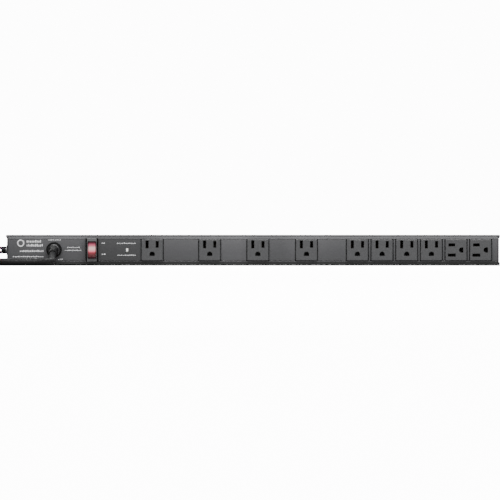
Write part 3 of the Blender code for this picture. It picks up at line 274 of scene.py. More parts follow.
def housing_finish():
    """Satin dark aluminium: drawn grain, cloudiness, darker corners as painted shade, and soft
    bands of painted light, shade and reflection on the face.
    """
    shader = Shader("housing_finish", HOUSING_COLOR, 0.46, metallic=0.3)
    grain = shader.noise(900, 4, (0.012, 1, 1))
    cloud = shader.ramp(shader.noise(7, 4, (0.5, 1, 1)), 0.90, 1.10)
    # Painted shade: the rounded top and bottom corners, between upright and level, are darkened
    # in the colour.
    corner_shade = shader.stops(shader.steepness(), (
        (0.0, 1.0), (0.30, 1.06), (0.52, 0.62), (0.85, 0.5), (0.97, 1.0)))
    # Painted light and shade: darker bottom and top shoulders, a bright lip line and brighter
    # bands between, by height.
    height = shader.stops(shader.between("Z", CHANNEL_LOW.z, CHANNEL_HIGH.z), (
        (0.0, 0.18), (0.03, 0.24), (0.045, 0.52), (0.105, 0.56), (0.118, 1.12), (0.150, 1.12),
        (0.162, 0.78), (0.45, 0.91), (0.84, 1.19), (0.90, 1.06), (0.94, 0.94), (0.955, 0.2),
        (1.0, 0.12)))
    # Painted reflection and shade: lighter and darker stretches along the face's length.
    length = shader.stops(shader.between("X", -END_X, END_X), (
        (0.0, 0.90), (0.04, 1.09), (0.145, 1.10), (0.175, 0.62), (0.27, 0.62), (0.32, 1.0),
        (0.40, 1.07), (0.47, 1.17), (0.51, 0.90), (0.56, 0.88), (0.60, 1.16), (0.67, 0.94),
        (1.0, 1.0)))
    # Only the front face takes these painted bands.
    front = shader.between("Y", FRONT + PAINTED_BAND_DEPTH[1], FRONT + PAINTED_BAND_DEPTH[0])
    painted_light_bands = shader.mixed(front, (1.0, 1.0, 1.0), shader.multiplied(height, length))
    tint = shader.multiplied(shader.multiplied(cloud, corner_shade), painted_light_bands)
    tint = shader.multiplied(tint, HOUSING_COLOR)
    shader.link(tint, shader.bsdf.inputs["Base Color"])
    shader.vary_roughness(grain, 0.42, 0.54)
    shader.bump(grain, 0.00003, 0.35)
    shader.bump(shader.noise(2600, 2), 0.00002, 0.5)
    return shader.material


def moulded(name, color, roughness, grain=MOULD_GRAIN, depth=MOULD_DEPTH):
    """Moulded plastic with slight changes of tone."""
    shader = Shader(name, color, roughness)
    shader.vary_color(shader.noise(60, 4), 0.07)
    shader.mould_skin(roughness - 0.07, roughness + 0.08, grain, depth)
    return shader.material


def metal(name, color, roughness, scratch=(1, 1, 1)):
    """Plated or stamped metal with fine scratches and slight tarnish."""
    shader = Shader(name, color, roughness, metallic=1.0)
    lines = shader.noise(1400, 4, scratch)
    shader.vary_color(shader.noise(250, 4), 0.15)
    shader.vary_roughness(lines, roughness - 0.08, roughness + 0.14)
    shader.bump(lines, 0.00002, 0.4)
    return shader.material


def outlet_finish():
    """Textured grey moulding, with painted shade: black inside its slots and where it sinks into
    the channel.
    """
    shader = Shader("outlet_finish", OUTLET_COLOR, 0.5)
    mottle = shader.ramp(shader.noise(420, 4), 0.88, 1.12)
    # Painted shade: black deeper than the outlet's face, inside its slots and down its sides.
    slot_shade = shader.between("Y", OUTLET_FRONT + SLOT_SHADE_FADE[0], OUTLET_FRONT + SLOT_SHADE_FADE[1])
    tint = shader.mixed(slot_shade, shader.multiplied(mottle, OUTLET_COLOR), SLOT_SHADE_BLACK)
    shader.link(tint, shader.bsdf.inputs["Base Color"])
    shader.fade_gloss(slot_shade, 0.15)
    shader.mould_skin(0.42, 0.58)
    return shader.material


def rubbery(name, color, roughness, gloss=USUAL_GLOSS):
    """Extruded jacket or moulded rubber: fine orange peel and scuffs."""
    shader = Shader(name, color, roughness, Specular_IOR_Level=gloss)
    shader.vary_color(shader.noise(120, 5), 0.2)
    shader.vary_roughness(shader.noise(300, 4), roughness - 0.1, roughness + 0.12)
    shader.rubber_skin()
    return shader.material


def boot_finish():
    """Moulded rubber, grey near the flange as painted light, going black towards the cord as
    painted shade.
    """
    shader = Shader("boot_finish", BOOT_LIT_GREY, 0.32)
    # Painted light and shade: lit grey near the flange, fading to shaded black further out.
    along = shader.between("Y", FRONT - BOOT_SHADE_FADE[0], FRONT - BOOT_SHADE_FADE[1])
    shader.link(shader.mixed(along, BOOT_LIT_GREY, BOOT_SHADE_BLACK), shader.bsdf.inputs["Base Color"])
    shader.fade_gloss(along, 0.12)
    shader.vary_roughness(shader.noise(300, 4), 0.26, 0.42)
    shader.rubber_skin()
    return shader.material


def rocker_finish():
    """Translucent red lit by its lamp, with a painted reflection as a whitish band across its
    middle and painted shade on its top, bottom and sides.
    """
    shader = Shader("rocker_finish", (0.032, 0.003, 0.005), 0.24, Coat_Weight=0.1,
                    Specular_IOR_Level=0.25, Emission_Strength=ROCKER_GLOW_AND_REFLECTION)
    height = shader.between("Z", MID_Z - ROCKER_HALF_HEIGHT, MID_Z + ROCKER_HALF_HEIGHT)
    # The lamp's red glow, with a painted reflection in the whitish middle and painted shade at
    # the dark top and bottom.
    glow = shader.stops(height, (
        (0.0, (0.03, 0.01, 0.014)), (0.06, (0.02, 0.004, 0.006)), (0.12, (0.012, 0.002, 0.003)),
        (0.18, (0.04, 0.008, 0.008)), (0.24, (0.10, 0.02, 0.02)), (0.30, (0.18, 0.022, 0.03)),
        (0.36, (0.40, 0.06, 0.085)), (0.41, (0.95, 0.21, 0.26)), (0.47, (1.0, 0.36, 0.38)),
        (0.53, (0.98, 0.58, 0.56)), (0.64, (0.92, 0.62, 0.58)), (0.71, (0.70, 0.32, 0.34)),
        (0.77, (0.56, 0.15, 0.20)), (0.83, (0.46, 0.09, 0.15)), (0.885, (0.18, 0.032, 0.06)),
        (0.94, (0.05, 0.008, 0.016)), (1.0, (0.02, 0.004, 0.008))))
    # Dimmer towards the sides: painted shade.
    across = shader.stops(shader.away("X", SWITCH_X, ROCKER_HALF_WIDTH),
                          ((0.0, 1.0), (0.72, 0.95), (0.86, 0.35), (1.0, 0.15)))
    flutes = shader.node("ShaderNodeTexWave", bands_direction="X", Scale=190)
    shader.link(shader.coordinates, flutes.inputs["Vector"])
    streaks = shader.ramp(flutes.outputs["Fac"], 0.86, 1.06, 0.2, 0.8)
    glow = shader.multiplied(shader.multiplied(glow, across), streaks)
    shader.link(glow, shader.bsdf.inputs["Emission Color"])
    shader.vary_roughness(shader.noise(400, 3), 0.18, 0.3)
    shader.bump(flutes.outputs["Fac"], 0.00004, 0.3)
    return shader.material


def lamp_finish():
    """Clear diffusing lens, brighter towards its middle, with the lead frame's shadow."""
    shader = Shader("lamp_finish", (0.30, 0.30, 0.29), 0.16, Coat_Weight=0.5,
                    Emission_Strength=LAMP_GLOW)
    tall = shader.stops(shader.away("Z", MID_Z, LAMP_HALF_HEIGHT),
                        ((0.0, 0.35), (0.2, 1.0), (0.5, 0.8), (0.7, 0.16), (1.0, 0.04)))
    wide = shader.stops(shader.away("X", LAMP_X, LAMP_HALF_WIDTH),
                        ((0.0, 1.0), (0.35, 0.7), (0.6, 0.12), (1.0, 0.03)))
    glow = shader.multiplied(shader.multiplied(tall, wide), (1.0, 1.0, 0.95))
    shader.link(glow, shader.bsdf.inputs["Emission Color"])
    shader.bump(shader.noise(800, 2), 0.00005, 0.4)
    return shader.material


def gland_finish():
    """Black rim round a grey dish; the black rim is painted shade for the gap round the dish."""
    shader = Shader("gland_finish", DEEP_BLACK, 0.5, Specular_IOR_Level=0.12)
    size = shader.vector_math(("SUBTRACT", (CORD_X, 0, CORD_Z)), ("MULTIPLY", (1, 0, 1)),
                              ("LENGTH", None))
    scaled = shader.node("ShaderNodeMath", operation="DIVIDE")
    shader.link(size, scaled.inputs[0])
    scaled.inputs[1].default_value = (RELIEF_HIGH.x - RELIEF_LOW.x) / 2
    # Painted shade: the outer ring of the face is black.
    tone = shader.stops(scaled.outputs["Value"], (
        (0.0, DISH_GREY), (0.80, DISH_GREY), (0.84, DEEP_BLACK), (1.0, DEEP_BLACK)))
    shader.link(tone, shader.bsdf.inputs["Base Color"])
    shader.mould_skin(0.34, 0.5)
    return shader.material


def bezel_finish():
    """Grey like the channel, with its two guard ridges black."""
    shader = Shader("bezel_finish", BEZEL_COLOR, 0.5)
    across = shader.away("X", SWITCH_X, SWITCH_HIGH.x - SWITCH_X)
    for field, middle, side in (("Base Color", BEZEL_COLOR, DEEP_BLACK),
                                ("Specular IOR Level", USUAL_GLOSS, GUARD_GLOSS)):
        value = shader.stops(across, ((0.0, middle), (GUARD_START, middle), (GUARD_FULL, side),
                                      (1.0, side)))
        shader.link(value, shader.bsdf.inputs[field])
    shader.mould_skin(0.44, 0.56)
    return shader.material


def ink_finish():
    """Pale print, a little worn."""
    shader = Shader("ink_finish", (0.58, 0.58, 0.59), 0.6)
    shader.vary_color(shader.noise(900, 4), 0.2)
    shader.vary_roughness(shader.noise(600, 3), 0.5, 0.7)
    return shader.material


def board_finish():
    """Solder resist over faint copper tracks."""
    shader = Shader("board_finish", RESIST_GREEN, 0.35)
    tracks = shader.node("ShaderNodeTexBrick", Scale=160, Color1=opaque(RESIST_GREEN),
                         Color2=opaque(TRACK_GREEN), Mortar=opaque(TRACK_EDGE_GREEN))
    shader.link(shader.coordinates, tracks.inputs["Vector"])
    shader.link(tracks.outputs["Color"], shader.bsdf.inputs["Base Color"])
    shader.bump(tracks.outputs["Fac"], 0.00005, 0.5)
    return shader.material


HOUSING = housing_finish()
BEZEL = bezel_finish()
GLAND = gland_finish()
CAP = moulded("cap_finish", (0.016, 0.016, 0.017), 0.48)
OUTLET = outlet_finish()
BLACK = moulded("black_finish", (0.012, 0.012, 0.013), 0.42)
INNER = moulded("inner_finish", (0.030, 0.030, 0.032), 0.6)
ZINC = metal("zinc_finish", (0.60, 0.60, 0.61), 0.3)
DARK_METAL = metal("dark_metal_finish", (0.016, 0.016, 0.017), 0.42)
BRASS = metal("brass_finish", (0.78, 0.56, 0.25), 0.26, (0.05, 1, 1))
# Painted shade: the bus leaves behind the slots are near black, so that the slots read dark.
BRONZE_IN_PAINTED_SHADE = metal("bronze_in_painted_shade_finish", (0.020, 0.016, 0.012), 0.6)
ROCKER = rocker_finish()
LAMP = lamp_finish()
NEON = moulded("neon_finish", (0.9, 0.45, 0.2), 0.1)
BOARD = board_finish()
VARISTOR = moulded("varistor_finish", (0.03, 0.10, 0.42), 0.3, 700, 0.00008)
CAPACITOR = moulded("capacitor_finish", (0.72, 0.50, 0.07), 0.4)
FUSE = moulded("fuse_finish", (0.78, 0.78, 0.75), 0.5)
JACKET = rubbery("jacket_finish", (0.004, 0.004, 0.0045), 0.6, 0.2)
BOOT = boot_finish()
BLACK_WIRE = rubbery("black_wire_finish", (0.015, 0.015, 0.015), 0.4)
WHITE_WIRE = rubbery("white_wire_finish", (0.80, 0.80, 0.78), 0.4)
GREEN_WIRE = rubbery("green_wire_finish", (0.02, 0.30, 0.06), 0.4)
INK = ink_finish()
STRAP = rubbery("strap_finish", (0.012, 0.012, 0.013), 0.85)
PLUG_RUBBER = rubbery("plug_finish", (0.010, 0.010, 0.0105), 0.42)

SLOT_FINISH = {
    "housing": HOUSING, "end_cap": CAP, "screw": ZINC, "dark_screw": DARK_METAL,
    "contact": BRASS, "outlet": OUTLET, "black_plastic": BLACK, "inner_plastic": INNER,
    "rocker_lens": ROCKER, "lamp_lens": LAMP, "lamp_glass": NEON, "board": BOARD,
    "varistor": VARISTOR, "capacitor": CAPACITOR, "fuse": FUSE, "cord_jacket": JACKET,
    "black_wire": BLACK_WIRE, "white_wire": WHITE_WIRE, "green_wire": GREEN_WIRE,
}
# Nodes whose look is more particular than their slot's.
NODE_FINISH = {
    "switch_frame": BEZEL, "strain_relief": GLAND, "line_bus": BRONZE_IN_PAINTED_SHADE, "neutral_bus": BRONZE_IN_PAINTED_SHADE,
    "earth_bus": BRONZE_IN_PAINTED_SHADE,
}


# ---- mesh helpers ------------------------------------------------------------
PIECE_SHARP = radians(40)   # edges that turn more than this stay sharp
NODE_SHARP = radians(35)


def new_object(name, shape, material):
    """An object in the scene from a shape, which is used up."""
    mesh = bpy.data.meshes.new(name)
    shape.to_mesh(mesh)
    shape.free()
    mesh.materials.append(material)
    made = bpy.data.objects.new(name, mesh)
    bpy.context.scene.collection.objects.link(made)
    return made


def new_piece(name, shape, material, smooth=True):
    """A piece that rides on the chassis, with the finish that it is given."""
    piece = new_object(name, shape, material)
    if smooth:
        piece.data.shade_smooth()
        piece.data.set_sharp_from_angle(angle=PIECE_SHARP)
    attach(piece, "chassis")
    return piece


def paint_nodes():
    """Give every CAD node its slot's finish, or its own, and smooth curved faces."""
    slots = {entry["node"]: entry["material_slot"] for entry in frame["record"]["subparts"]}
    for name, item in NODES.items():
        item.data.materials.clear()
        item.data.materials.append(NODE_FINISH.get(name, SLOT_FINISH[slots[name]]))
        item.data.shade_smooth()
        item.data.set_sharp_from_angle(angle=NODE_SHARP)


def join_rings(shape, rings):
    """Faces between each ring of points and the next."""
    for a, b in zip(rings, rings[1:]):
        for k in range(len(a)):
            j = (k + 1) % len(a)
            shape.faces.new((a[k], a[j], b[j], b[k]))


def closed_tube(shape, rings):
    """Faces between rings of points, with a face over each end, all facing outwards."""
    join_rings(shape, rings)
    shape.faces.new(list(reversed(rings[0])))
    shape.faces.new(rings[-1])
    bmesh.ops.recalc_face_normals(shape, faces=shape.faces)


# ---- the cord ----------------------------------------------------------------
# The route of the part's cord solids. Its points are in millimetres, from the origin.
FLOOR_LINE = 4.3            # the cord's middle when it lies on the floor
ENTRY_START = (             # out of the flange and down
    (-247.6, -23.85, 19.4), (-247.6, -35, 18.9), (-247.3, -47, 16.1), (-246.6, -59, 11.0),
    (-245.9, -70, 7.0),
)
FRONT_BEND = (-287.5, -80, 42.5)    # the half turn in front: its middle and radius
FRONT_BEND_STEPS = 8
LANDING = 0.9               # how far above the floor it still is where that turn starts
ENTRY_END = (               # past the strip's left end and to the coil
    (-330, -52, FLOOR_LINE), (-330, -26, FLOOR_LINE), (-330, 0, FLOOR_LINE),
    (-327.8, 15, FLOOR_LINE), (-323.0, 29, FLOOR_LINE), (-317.9, 42, FLOOR_LINE),
    (-314.5, 56, 4.4),
)
TAIL_START = ((17, 0, -0.3), (12, -0.1, -2.6))  # the first two steps from the coil to the plug
TAIL_POINTS = (             # the rest, with x from the coil's middle
    (45, 141.0, 15.2), (57, 139.9, 9.2), (69, 138.1, 6.6), (82, 135.9, 8.0), (95, 134.3, 11.4),
)
PLUG_LEAD = 5               # the cord is straight from here before the plug
PLUG_DEPTH = 10             # and ends this far inside it
TURN_SLOTS = (              # each turn's radius and height
    (54.3, 5.3), (45.7, 5.3), (45.7, 13.9), (54.3, 13.9), (54.3, 22.5),
)
TURN_CHANGES = (            # the degrees in each turn between which it moves to the next slot
    (267, 333), (214, 280), (161, 227), (108, 174),
)
LAST_TURN = 90              # degrees of the turn after those
COIL_STEP = 10              # degrees between the coil's points
CURVE_STEPS = 24            # straight pieces between two given points
CORD_STEP = 2.5 * MM
CORD_SIDES = 16
EASING = 4                  # passes that relax the finished line
NEARLY = 1e-9

BOOT_RADIUS = 6.9 * MM
BOOT_END_RADIUS = 4.9 * MM
BOOT_LENGTH = 30 * MM
BOOT_STEP = 0.4 * MM
BOOT_SIDES = 28
BOOT_RIBS = (6 * MM, 26 * MM)   # where its grooves begin and end
BOOT_PITCH = 4 * MM
BOOT_GROOVE = 0.7 * MM
BOOT_LIP = 0.95             # its last share, which thins by BOOT_LIP_DROP
BOOT_LIP_DROP = 0.25 * MM
BOOT_WALL = 0.25 * MM       # least thickness over the cord

TIE_WIDTH = 12 * MM
TIE_THICK = 0.8 * MM
TIE_GAP = 0.15 * MM
TIE_ROWS = (-1, -0.96, -0.5, 0, 0.5, 0.96, 1)   # places across it, as shares of half its width
TIE_EDGE = 0.75             # its edges' thickness as a share of its middle's
TIE_CIRCLE = 24             # points round each strand from which its loop is drawn
TIE_SIDES = 90              # and points on the finished loop
TIE_FLOOR = 0.05 * MM       # the lowest that it reaches

PLUG_COLLAR = 16 * MM       # length of its round collar with the shoulder
PLUG_SHOULDER = 3 * MM
PLUG_BLEND = 6 * MM
PLUG_RINGS = 150
PLUG_SIDES = 56
COLLAR_RADIUS = 5.5 * MM
COLLAR_FLARE = 2.9 * MM
COLLAR_RIBS = (1 * MM, 11.8 * MM)
COLLAR_PITCH = 3.6 * MM
COLLAR_GROOVE = 0.8 * MM
BODY_START = 8.4 * MM       # the body's half width where it leaves the collar
FACE_ROUND = 1.6 * MM
GRIP = (22 * MM, 38 * MM)   # where the waisted grip begins and ends
GRIP_WAIST = 1.1 * MM
GRIP_PITCH = 3.2 * MM
GRIP_GROOVE = 0.45 * MM
ROUND_POWER = 2.0           # a section's squareness: 2 is an ellipse
SQUARE_POWER = 3.2          # how much squarer the body is


def through(points, step):
    """Points at even spacing on a smooth curve through the given ones."""
    knots = [2 * points[0] - points[1]] + list(points) + [2 * points[-1] - points[-2]]
    dense = []
    for a, b, c, d in zip(knots, knots[1:], knots[2:], knots[3:]):
        for i in range(CURVE_STEPS):
            t = i / CURVE_STEPS
            dense.append(0.5 * (2 * b + (c - a) * t + (2 * a - 5 * b + 4 * c - d) * t ** 2
                                + (3 * b - a - 3 * c + d) * t ** 3))
    dense.append(points[-1])
    return resampled(dense, step)


def resampled(points, step):
    """The same line with its points evenly spaced, about a step apart."""
    total = sum((b - a).length for a, b in zip(points, points[1:]))
    count = max(2, round(total / step))
    spaced = [points[0]]
    walked = 0.0
    target = total / count
    for a, b in zip(points, points[1:]):
        length = (b - a).length
        while length and walked + length >= target - NEARLY and len(spaced) < count:
            spaced.append(a.lerp(b, (target - walked) / length))
            target += total / count
        walked += length
    return spaced + [points[-1]]


def eased(points, passes):
    """Relax a line's kinks, with its first and last points held."""
    for _ in range(passes):
        middle = [(a + 2 * b + c) / 4 for a, b, c in zip(points, points[1:], points[2:])]
        points = [points[0]] + middle + [points[-1]]
    return points


def smoothstep(t):
    """0 to 1 with level ends."""
    t = min(1.0, max(0.0, t))
    return t * t * (3 - 2 * t)


def coil_point(angle):
    """A point of the winding, by degrees turned since its left-most point."""
    turn = min(int(angle // 360), len(TURN_CHANGES))
    radius, height = TURN_SLOTS[turn]
    if turn < len(TURN_CHANGES):
        start, end = TURN_CHANGES[turn]
        blend = smoothstep((angle - 360 * turn - start) / (end - start))
        radius += (TURN_SLOTS[turn + 1][0] - radius) * blend
        height += (TURN_SLOTS[turn + 1][1] - height) * blend
    way = pi - radians(angle)
    return Vector((COIL_CENTRE.x + radius * MM * cos(way), COIL_CENTRE.y + radius * MM * sin(way),
                   height * MM))


def cord_line():
    """The cord's middle from the flange, round the strip's end and the coil, to the plug."""
    points = [Vector(p) * MM for p in ENTRY_START]
    bend_x, bend_y, reach = FRONT_BEND
    for step in range(FRONT_BEND_STEPS + 1):
        turned = pi * step / FRONT_BEND_STEPS
        height = FLOOR_LINE if step else FLOOR_LINE + LANDING
        points.append(Vector((bend_x + reach * cos(turned), bend_y - reach * sin(turned),
                              height)) * MM)
    points += [Vector(p) * MM for p in ENTRY_END]
    last = 360 * len(TURN_CHANGES) + LAST_TURN
    points += [coil_point(a) for a in range(0, last + 1, COIL_STEP)]
    for step in TAIL_START:
        points.append(points[-1] + Vector(step) * MM)
    for reach, y, z in TAIL_POINTS:
        points.append(Vector((COIL_CENTRE.x + reach * MM, y * MM, z * MM)))
    end = Vector((PLUG_LOW.x, PLUG_CENTRE.y, PLUG_CENTRE.z))
    points += [end - Vector((PLUG_LEAD * MM, 0, 0)), end, end + Vector((PLUG_DEPTH * MM, 0, 0))]
    return eased(through(points, CORD_STEP), EASING)


def frames_along(points):
    """Turning-free cross directions at each point of a line."""
    ahead = (points[1] - points[0]).normalized()
    side = ahead.orthogonal().normalized()
    found = []
    for i, point in enumerate(points):
        before = points[max(0, i - 1)]
        after = points[min(len(points) - 1, i + 1)]
        new_ahead = (after - before).normalized()
        side = (ahead.rotation_difference(new_ahead) @ side).normalized()
        side = (side - new_ahead * side.dot(new_ahead)).normalized()
        ahead = new_ahead
        found.append((point, side, ahead.cross(side)))
    return found


def tube(points, radii, sides):
    """A closed tube along a line, with a radius for each point."""
    shape = bmesh.new()
    rings = []
    for (point, u, v), radius in zip(frames_along(points), radii):
        rings.append([shape.verts.new(point + radius * (u * cos(tau * k / sides)
                                                        + v * sin(tau * k / sides)))
                      for k in range(sides)])
    closed_tube(shape, rings)
    return shape


def first_stretch(line, end):
    """The points of a line up to a distance along it."""
    walked = 0.0
    kept = []
    for a, b in zip(line, line[1:]):
        if walked <= end + NEARLY:
            kept.append(a)
        walked += (b - a).length
    return kept


CORD_LINE = cord_line()


def build_cord():
    """The whole cord as one tube."""
    shape = tube(CORD_LINE, [CORD_RADIUS] * len(CORD_LINE), CORD_SIDES)
    cord = new_piece("power_cord", shape, JACKET)
    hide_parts("cord", "cord_coil", "cord_tail")
    return cord


def build_boot():
    """Ribbed, tapered strain relief moulded on the cord's first stretch."""
    line = first_stretch(resampled(CORD_LINE, BOOT_STEP), BOOT_LENGTH)
    first_rib, last_rib = BOOT_RIBS
    radii = []
    for i in range(len(line)):
        along = i * BOOT_STEP
        t = along / BOOT_LENGTH
        radius = BOOT_RADIUS + (BOOT_END_RADIUS - BOOT_RADIUS) * t ** 0.9
        if first_rib < along < last_rib:
            wave = max(0.0, sin(tau * (along - first_rib) / BOOT_PITCH))
            radius -= BOOT_GROOVE * wave ** 0.5
        if t > BOOT_LIP:
            radius -= BOOT_LIP_DROP * (t - BOOT_LIP) / (1 - BOOT_LIP)
        radii.append(max(radius, CORD_RADIUS + BOOT_WALL))
    boot = new_piece("cord_boot_ribbed", tube(line, radii, BOOT_SIDES), BOOT)
    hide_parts("cord_boot")
    return boot


def hull(points):
    """Convex hull of flat points, anticlockwise."""
    points = sorted(set(points))
    halves = []
    for line in (points, points[::-1]):
        half = []
        for p in line:
            while len(half) > 1 and ((half[-1][0] - half[-2][0]) * (p[1] - half[-2][1])
                                     <= (half[-1][1] - half[-2][1]) * (p[0] - half[-2][0])):
                half.pop()
            half.append(p)
        halves.append(half[:-1])
    return halves[0] + halves[1]


def strap_loop(radius):
    """A loop drawn tight round the strands at the coil's right-hand side, each of a radius."""
    ring = []
    for turn in range(len(TURN_CHANGES)):
        centre = coil_point(360 * turn + 180)
        for k in range(TIE_CIRCLE):
            ring.append((round(centre.x + radius * cos(tau * k / TIE_CIRCLE), 7),
                         round(centre.z + radius * sin(tau * k / TIE_CIRCLE), 7)))
    loop = hull(ring)
    line = [Vector((x, 0, z)) for x, z in loop + loop[:1]]
    length = sum((b - a).length for a, b in zip(line, line[1:]))
    return resampled(line, length / TIE_SIDES)[:-1]


def build_tie():
    """Hook-and-loop strap drawn round the coil's strands, a little thinner at its edges."""
    inner = strap_loop(CORD_RADIUS + TIE_GAP)
    outer = strap_loop(CORD_RADIUS + TIE_GAP + TIE_THICK)
    shape = bmesh.new()
    rows = []
    for across in TIE_ROWS:
        y = COIL_CENTRE.y + across * TIE_WIDTH / 2
        share = TIE_EDGE if abs(across) == 1 else 1
        rise = [p.lerp(q, share) for p, q in zip(inner, outer)]
        rows.append([[shape.verts.new((p.x, y, p.z)) for p in inner],
                     [shape.verts.new((p.x, y, max(p.z, TIE_FLOOR))) for p in rise]])
    count = len(inner)
    for first, second in zip(rows, rows[1:]):
        for k in range(count):
            j = (k + 1) % count
            shape.faces.new((first[0][k], first[0][j], second[0][j], second[0][k]))
            shape.faces.new((first[1][j], first[1][k], second[1][k], second[1][j]))
    for row in (rows[0], rows[-1]):
        for k in range(count):
            j = (k + 1) % count
            shape.faces.new((row[0][k], row[1][k], row[1][j], row[0][j]))
    bmesh.ops.recalc_face_normals(shape, faces=shape.faces)
    tie = new_piece("cord_tie_strap", shape, STRAP)
    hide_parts("cord_tie")
    return tie


def plug_section(along):
    """The plug's half width, half height and squareness, by distance from its cord end."""
    collar_end = PLUG_COLLAR - PLUG_SHOULDER
    if along < collar_end:
        first_rib, last_rib = COLLAR_RIBS
        radius = COLLAR_RADIUS + COLLAR_FLARE * (along / collar_end) ** 1.3
        if first_rib < along < last_rib:
            wave = max(0.0, sin(tau * (along - first_rib) / COLLAR_PITCH))
            radius -= COLLAR_GROOVE * wave ** 0.6
        return radius, radius, ROUND_POWER
    blend = smoothstep((along - collar_end) / PLUG_BLEND)
    half = (PLUG_HIGH.y - PLUG_LOW.y) / 2
    full = BODY_START + (half - BODY_START) * blend
    ahead = PLUG_HIGH.x - PLUG_LOW.x - along
    if ahead < FACE_ROUND:
        full -= FACE_ROUND * (1 - (1 - (1 - ahead / FACE_ROUND) ** 2) ** 0.5)
    waist = 0.0
    grip_start, grip_end = GRIP
    if grip_start < along < grip_end:
        waist = GRIP_WAIST * sin(pi * (along - grip_start) / (grip_end - grip_start)) ** 2
        waist += GRIP_GROOVE * max(0.0, sin(tau * (along - grip_start) / GRIP_PITCH))
    return full, full - waist, ROUND_POWER + SQUARE_POWER * blend


def build_plug():
    """Moulded plug: ribbed collar, waisted grip and a rounded face."""
    length = PLUG_HIGH.x - PLUG_LOW.x
    shape = bmesh.new()
    rings = []
    for i in range(PLUG_RINGS + 1):
        along = length * i / PLUG_RINGS
        wide, tall, power = plug_section(along)
        ring = []
        for k in range(PLUG_SIDES):
            a = tau * (k + 0.5) / PLUG_SIDES
            c, d = cos(a), sin(a)
            size = (abs(c) ** power + abs(d) ** power) ** (-1 / power)
            ring.append(shape.verts.new((PLUG_LOW.x + along, PLUG_CENTRE.y + wide * size * c,
                                         PLUG_CENTRE.z + tall * size * d)))
        rings.append(ring)
    closed_tube(shape, rings)
    plug = new_piece("plug_moulding", shape, PLUG_RUBBER)
    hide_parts("plug_body")
    return plug


# ---- printed marks -----------------------------------------------------------
MARK_FRONT = FRONT - 0.06 * MM
MARK_BACK = FRONT - 0.005 * MM
# Each line of print, in millimetres: its ends along X, its height from the strip's middle, its
# size, and how many dashes it has.
MARK_LINES = (
    (-281.9, -264.0, 10.9, 3.3, 9), (-281.9, -261.7, 5.9, 3.1, 10),
    (-290.3, -260.9, -1.2, 2.4, 14),
    (-299.0, -260.9, -8.2, 1.4, 17), (-286.8, -260.9, -11.3, 1.5, 12),
    (-255.4, -239.1, 12.6, 1.0, 8), (-258.0, -254.4, -11.6, 1.1, 2),
    (-242.8, -237.0, -11.6, 1.1, 3),
    (-231.2, -215.7, 3.3, 1.2, 8), (-234.0, -214.1, -0.4, 1.2, 10),
    (-188.2, -184.4, 8.6, 1.5, 2), (-188.2, -183.6, -5.2, 1.5, 2),
    (-169.5, -146.2, 8.4, 1.2, 11), (-169.0, -146.0, -6.4, 1.2, 11),
)
BADGE = (-289.2, 8.6, 3.0, 4.5)     # a plain ring: its middle, inner and outer radius
RING_SIDES = 40
DASH_WIDTHS = (0.7, 1.5)            # their widths and gap before they are fitted to a line
DASH_GAP = 0.35
DASH_HEIGHTS = (0.7, 0.8, 1.0)      # shares of the line's size
DASH_ROUND = 0.35                   # corner radius as a share of a dash's smaller side
CORNER_STEPS = 3
PRINT_SEED = 7


def print_dashes():
    """Lines of print too small to read: plain dashes of varied length and height."""
    draw = random.Random(PRINT_SEED)
    spans = []
    for low, high, rise, height, count in MARK_LINES:
        widths = [draw.uniform(*DASH_WIDTHS) for _ in range(count)]
        scale = (high - low) / (sum(widths) + DASH_GAP * (count - 1))
        base = rise - height / 2
        x = low
        for width in widths:
            tall = height * draw.choice(DASH_HEIGHTS)
            spans.append((x, x + width * scale, base, base + tall))
            x += (width + DASH_GAP) * scale
    return spans


def add_plate(shape, outline):
    """A thin raised plate of print from its outline in X and Z, in millimetres."""
    front = [shape.verts.new((x * MM, MARK_FRONT, MID_Z + z * MM)) for x, z in outline]
    back = [shape.verts.new((x * MM, MARK_BACK, MID_Z + z * MM)) for x, z in outline]
    shape.faces.new(front)
    shape.faces.new(list(reversed(back)))
    for k in range(len(front)):
        j = (k + 1) % len(front)
        shape.faces.new((front[k], back[k], back[j], front[j]))


def add_ring(shape, x, z, inner, outer):
    """A thin raised ring of print, in millimetres."""
    turns = [tau * k / RING_SIDES for k in range(RING_SIDES)]
    loops = []
    for radius, y in ((inner, MARK_FRONT), (outer, MARK_FRONT),
                      (outer, MARK_BACK), (inner, MARK_BACK)):
        loops.append([shape.verts.new(((x + radius * cos(turn)) * MM, y,
                                       MID_Z + (z + radius * sin(turn)) * MM))
                      for turn in turns])
    join_rings(shape, loops + loops[:1])


def build_marks():
    """Generic print on the face: plain dashes and a plain ring, with no letters."""
    shape = bmesh.new()
    for low_x, high_x, low_z, high_z in print_dashes():
        radius = min(high_x - low_x, high_z - low_z) * DASH_ROUND
        corners = ((high_x - radius, high_z - radius), (low_x + radius, high_z - radius),
                   (low_x + radius, low_z + radius), (high_x - radius, low_z + radius))
        outline = []
        for start, (x, z) in enumerate(corners):
            for k in range(CORNER_STEPS + 1):
                a = pi / 2 * (start + k / CORNER_STEPS)
                outline.append((x + radius * cos(a), z + radius * sin(a)))
        add_plate(shape, outline)
    add_ring(shape, *BADGE)
    bmesh.ops.recalc_face_normals(shape, faces=shape.faces)
    new_piece("printed_marks", shape, INK, smooth=False)


# ---- assembly ----------------------------------------------------------------
paint_nodes()
POWER_CORD = build_cord()
BOOT_PIECE = build_boot()
TIE_PIECE = build_tie()
PLUG_PIECE = build_plug()
build_marks()


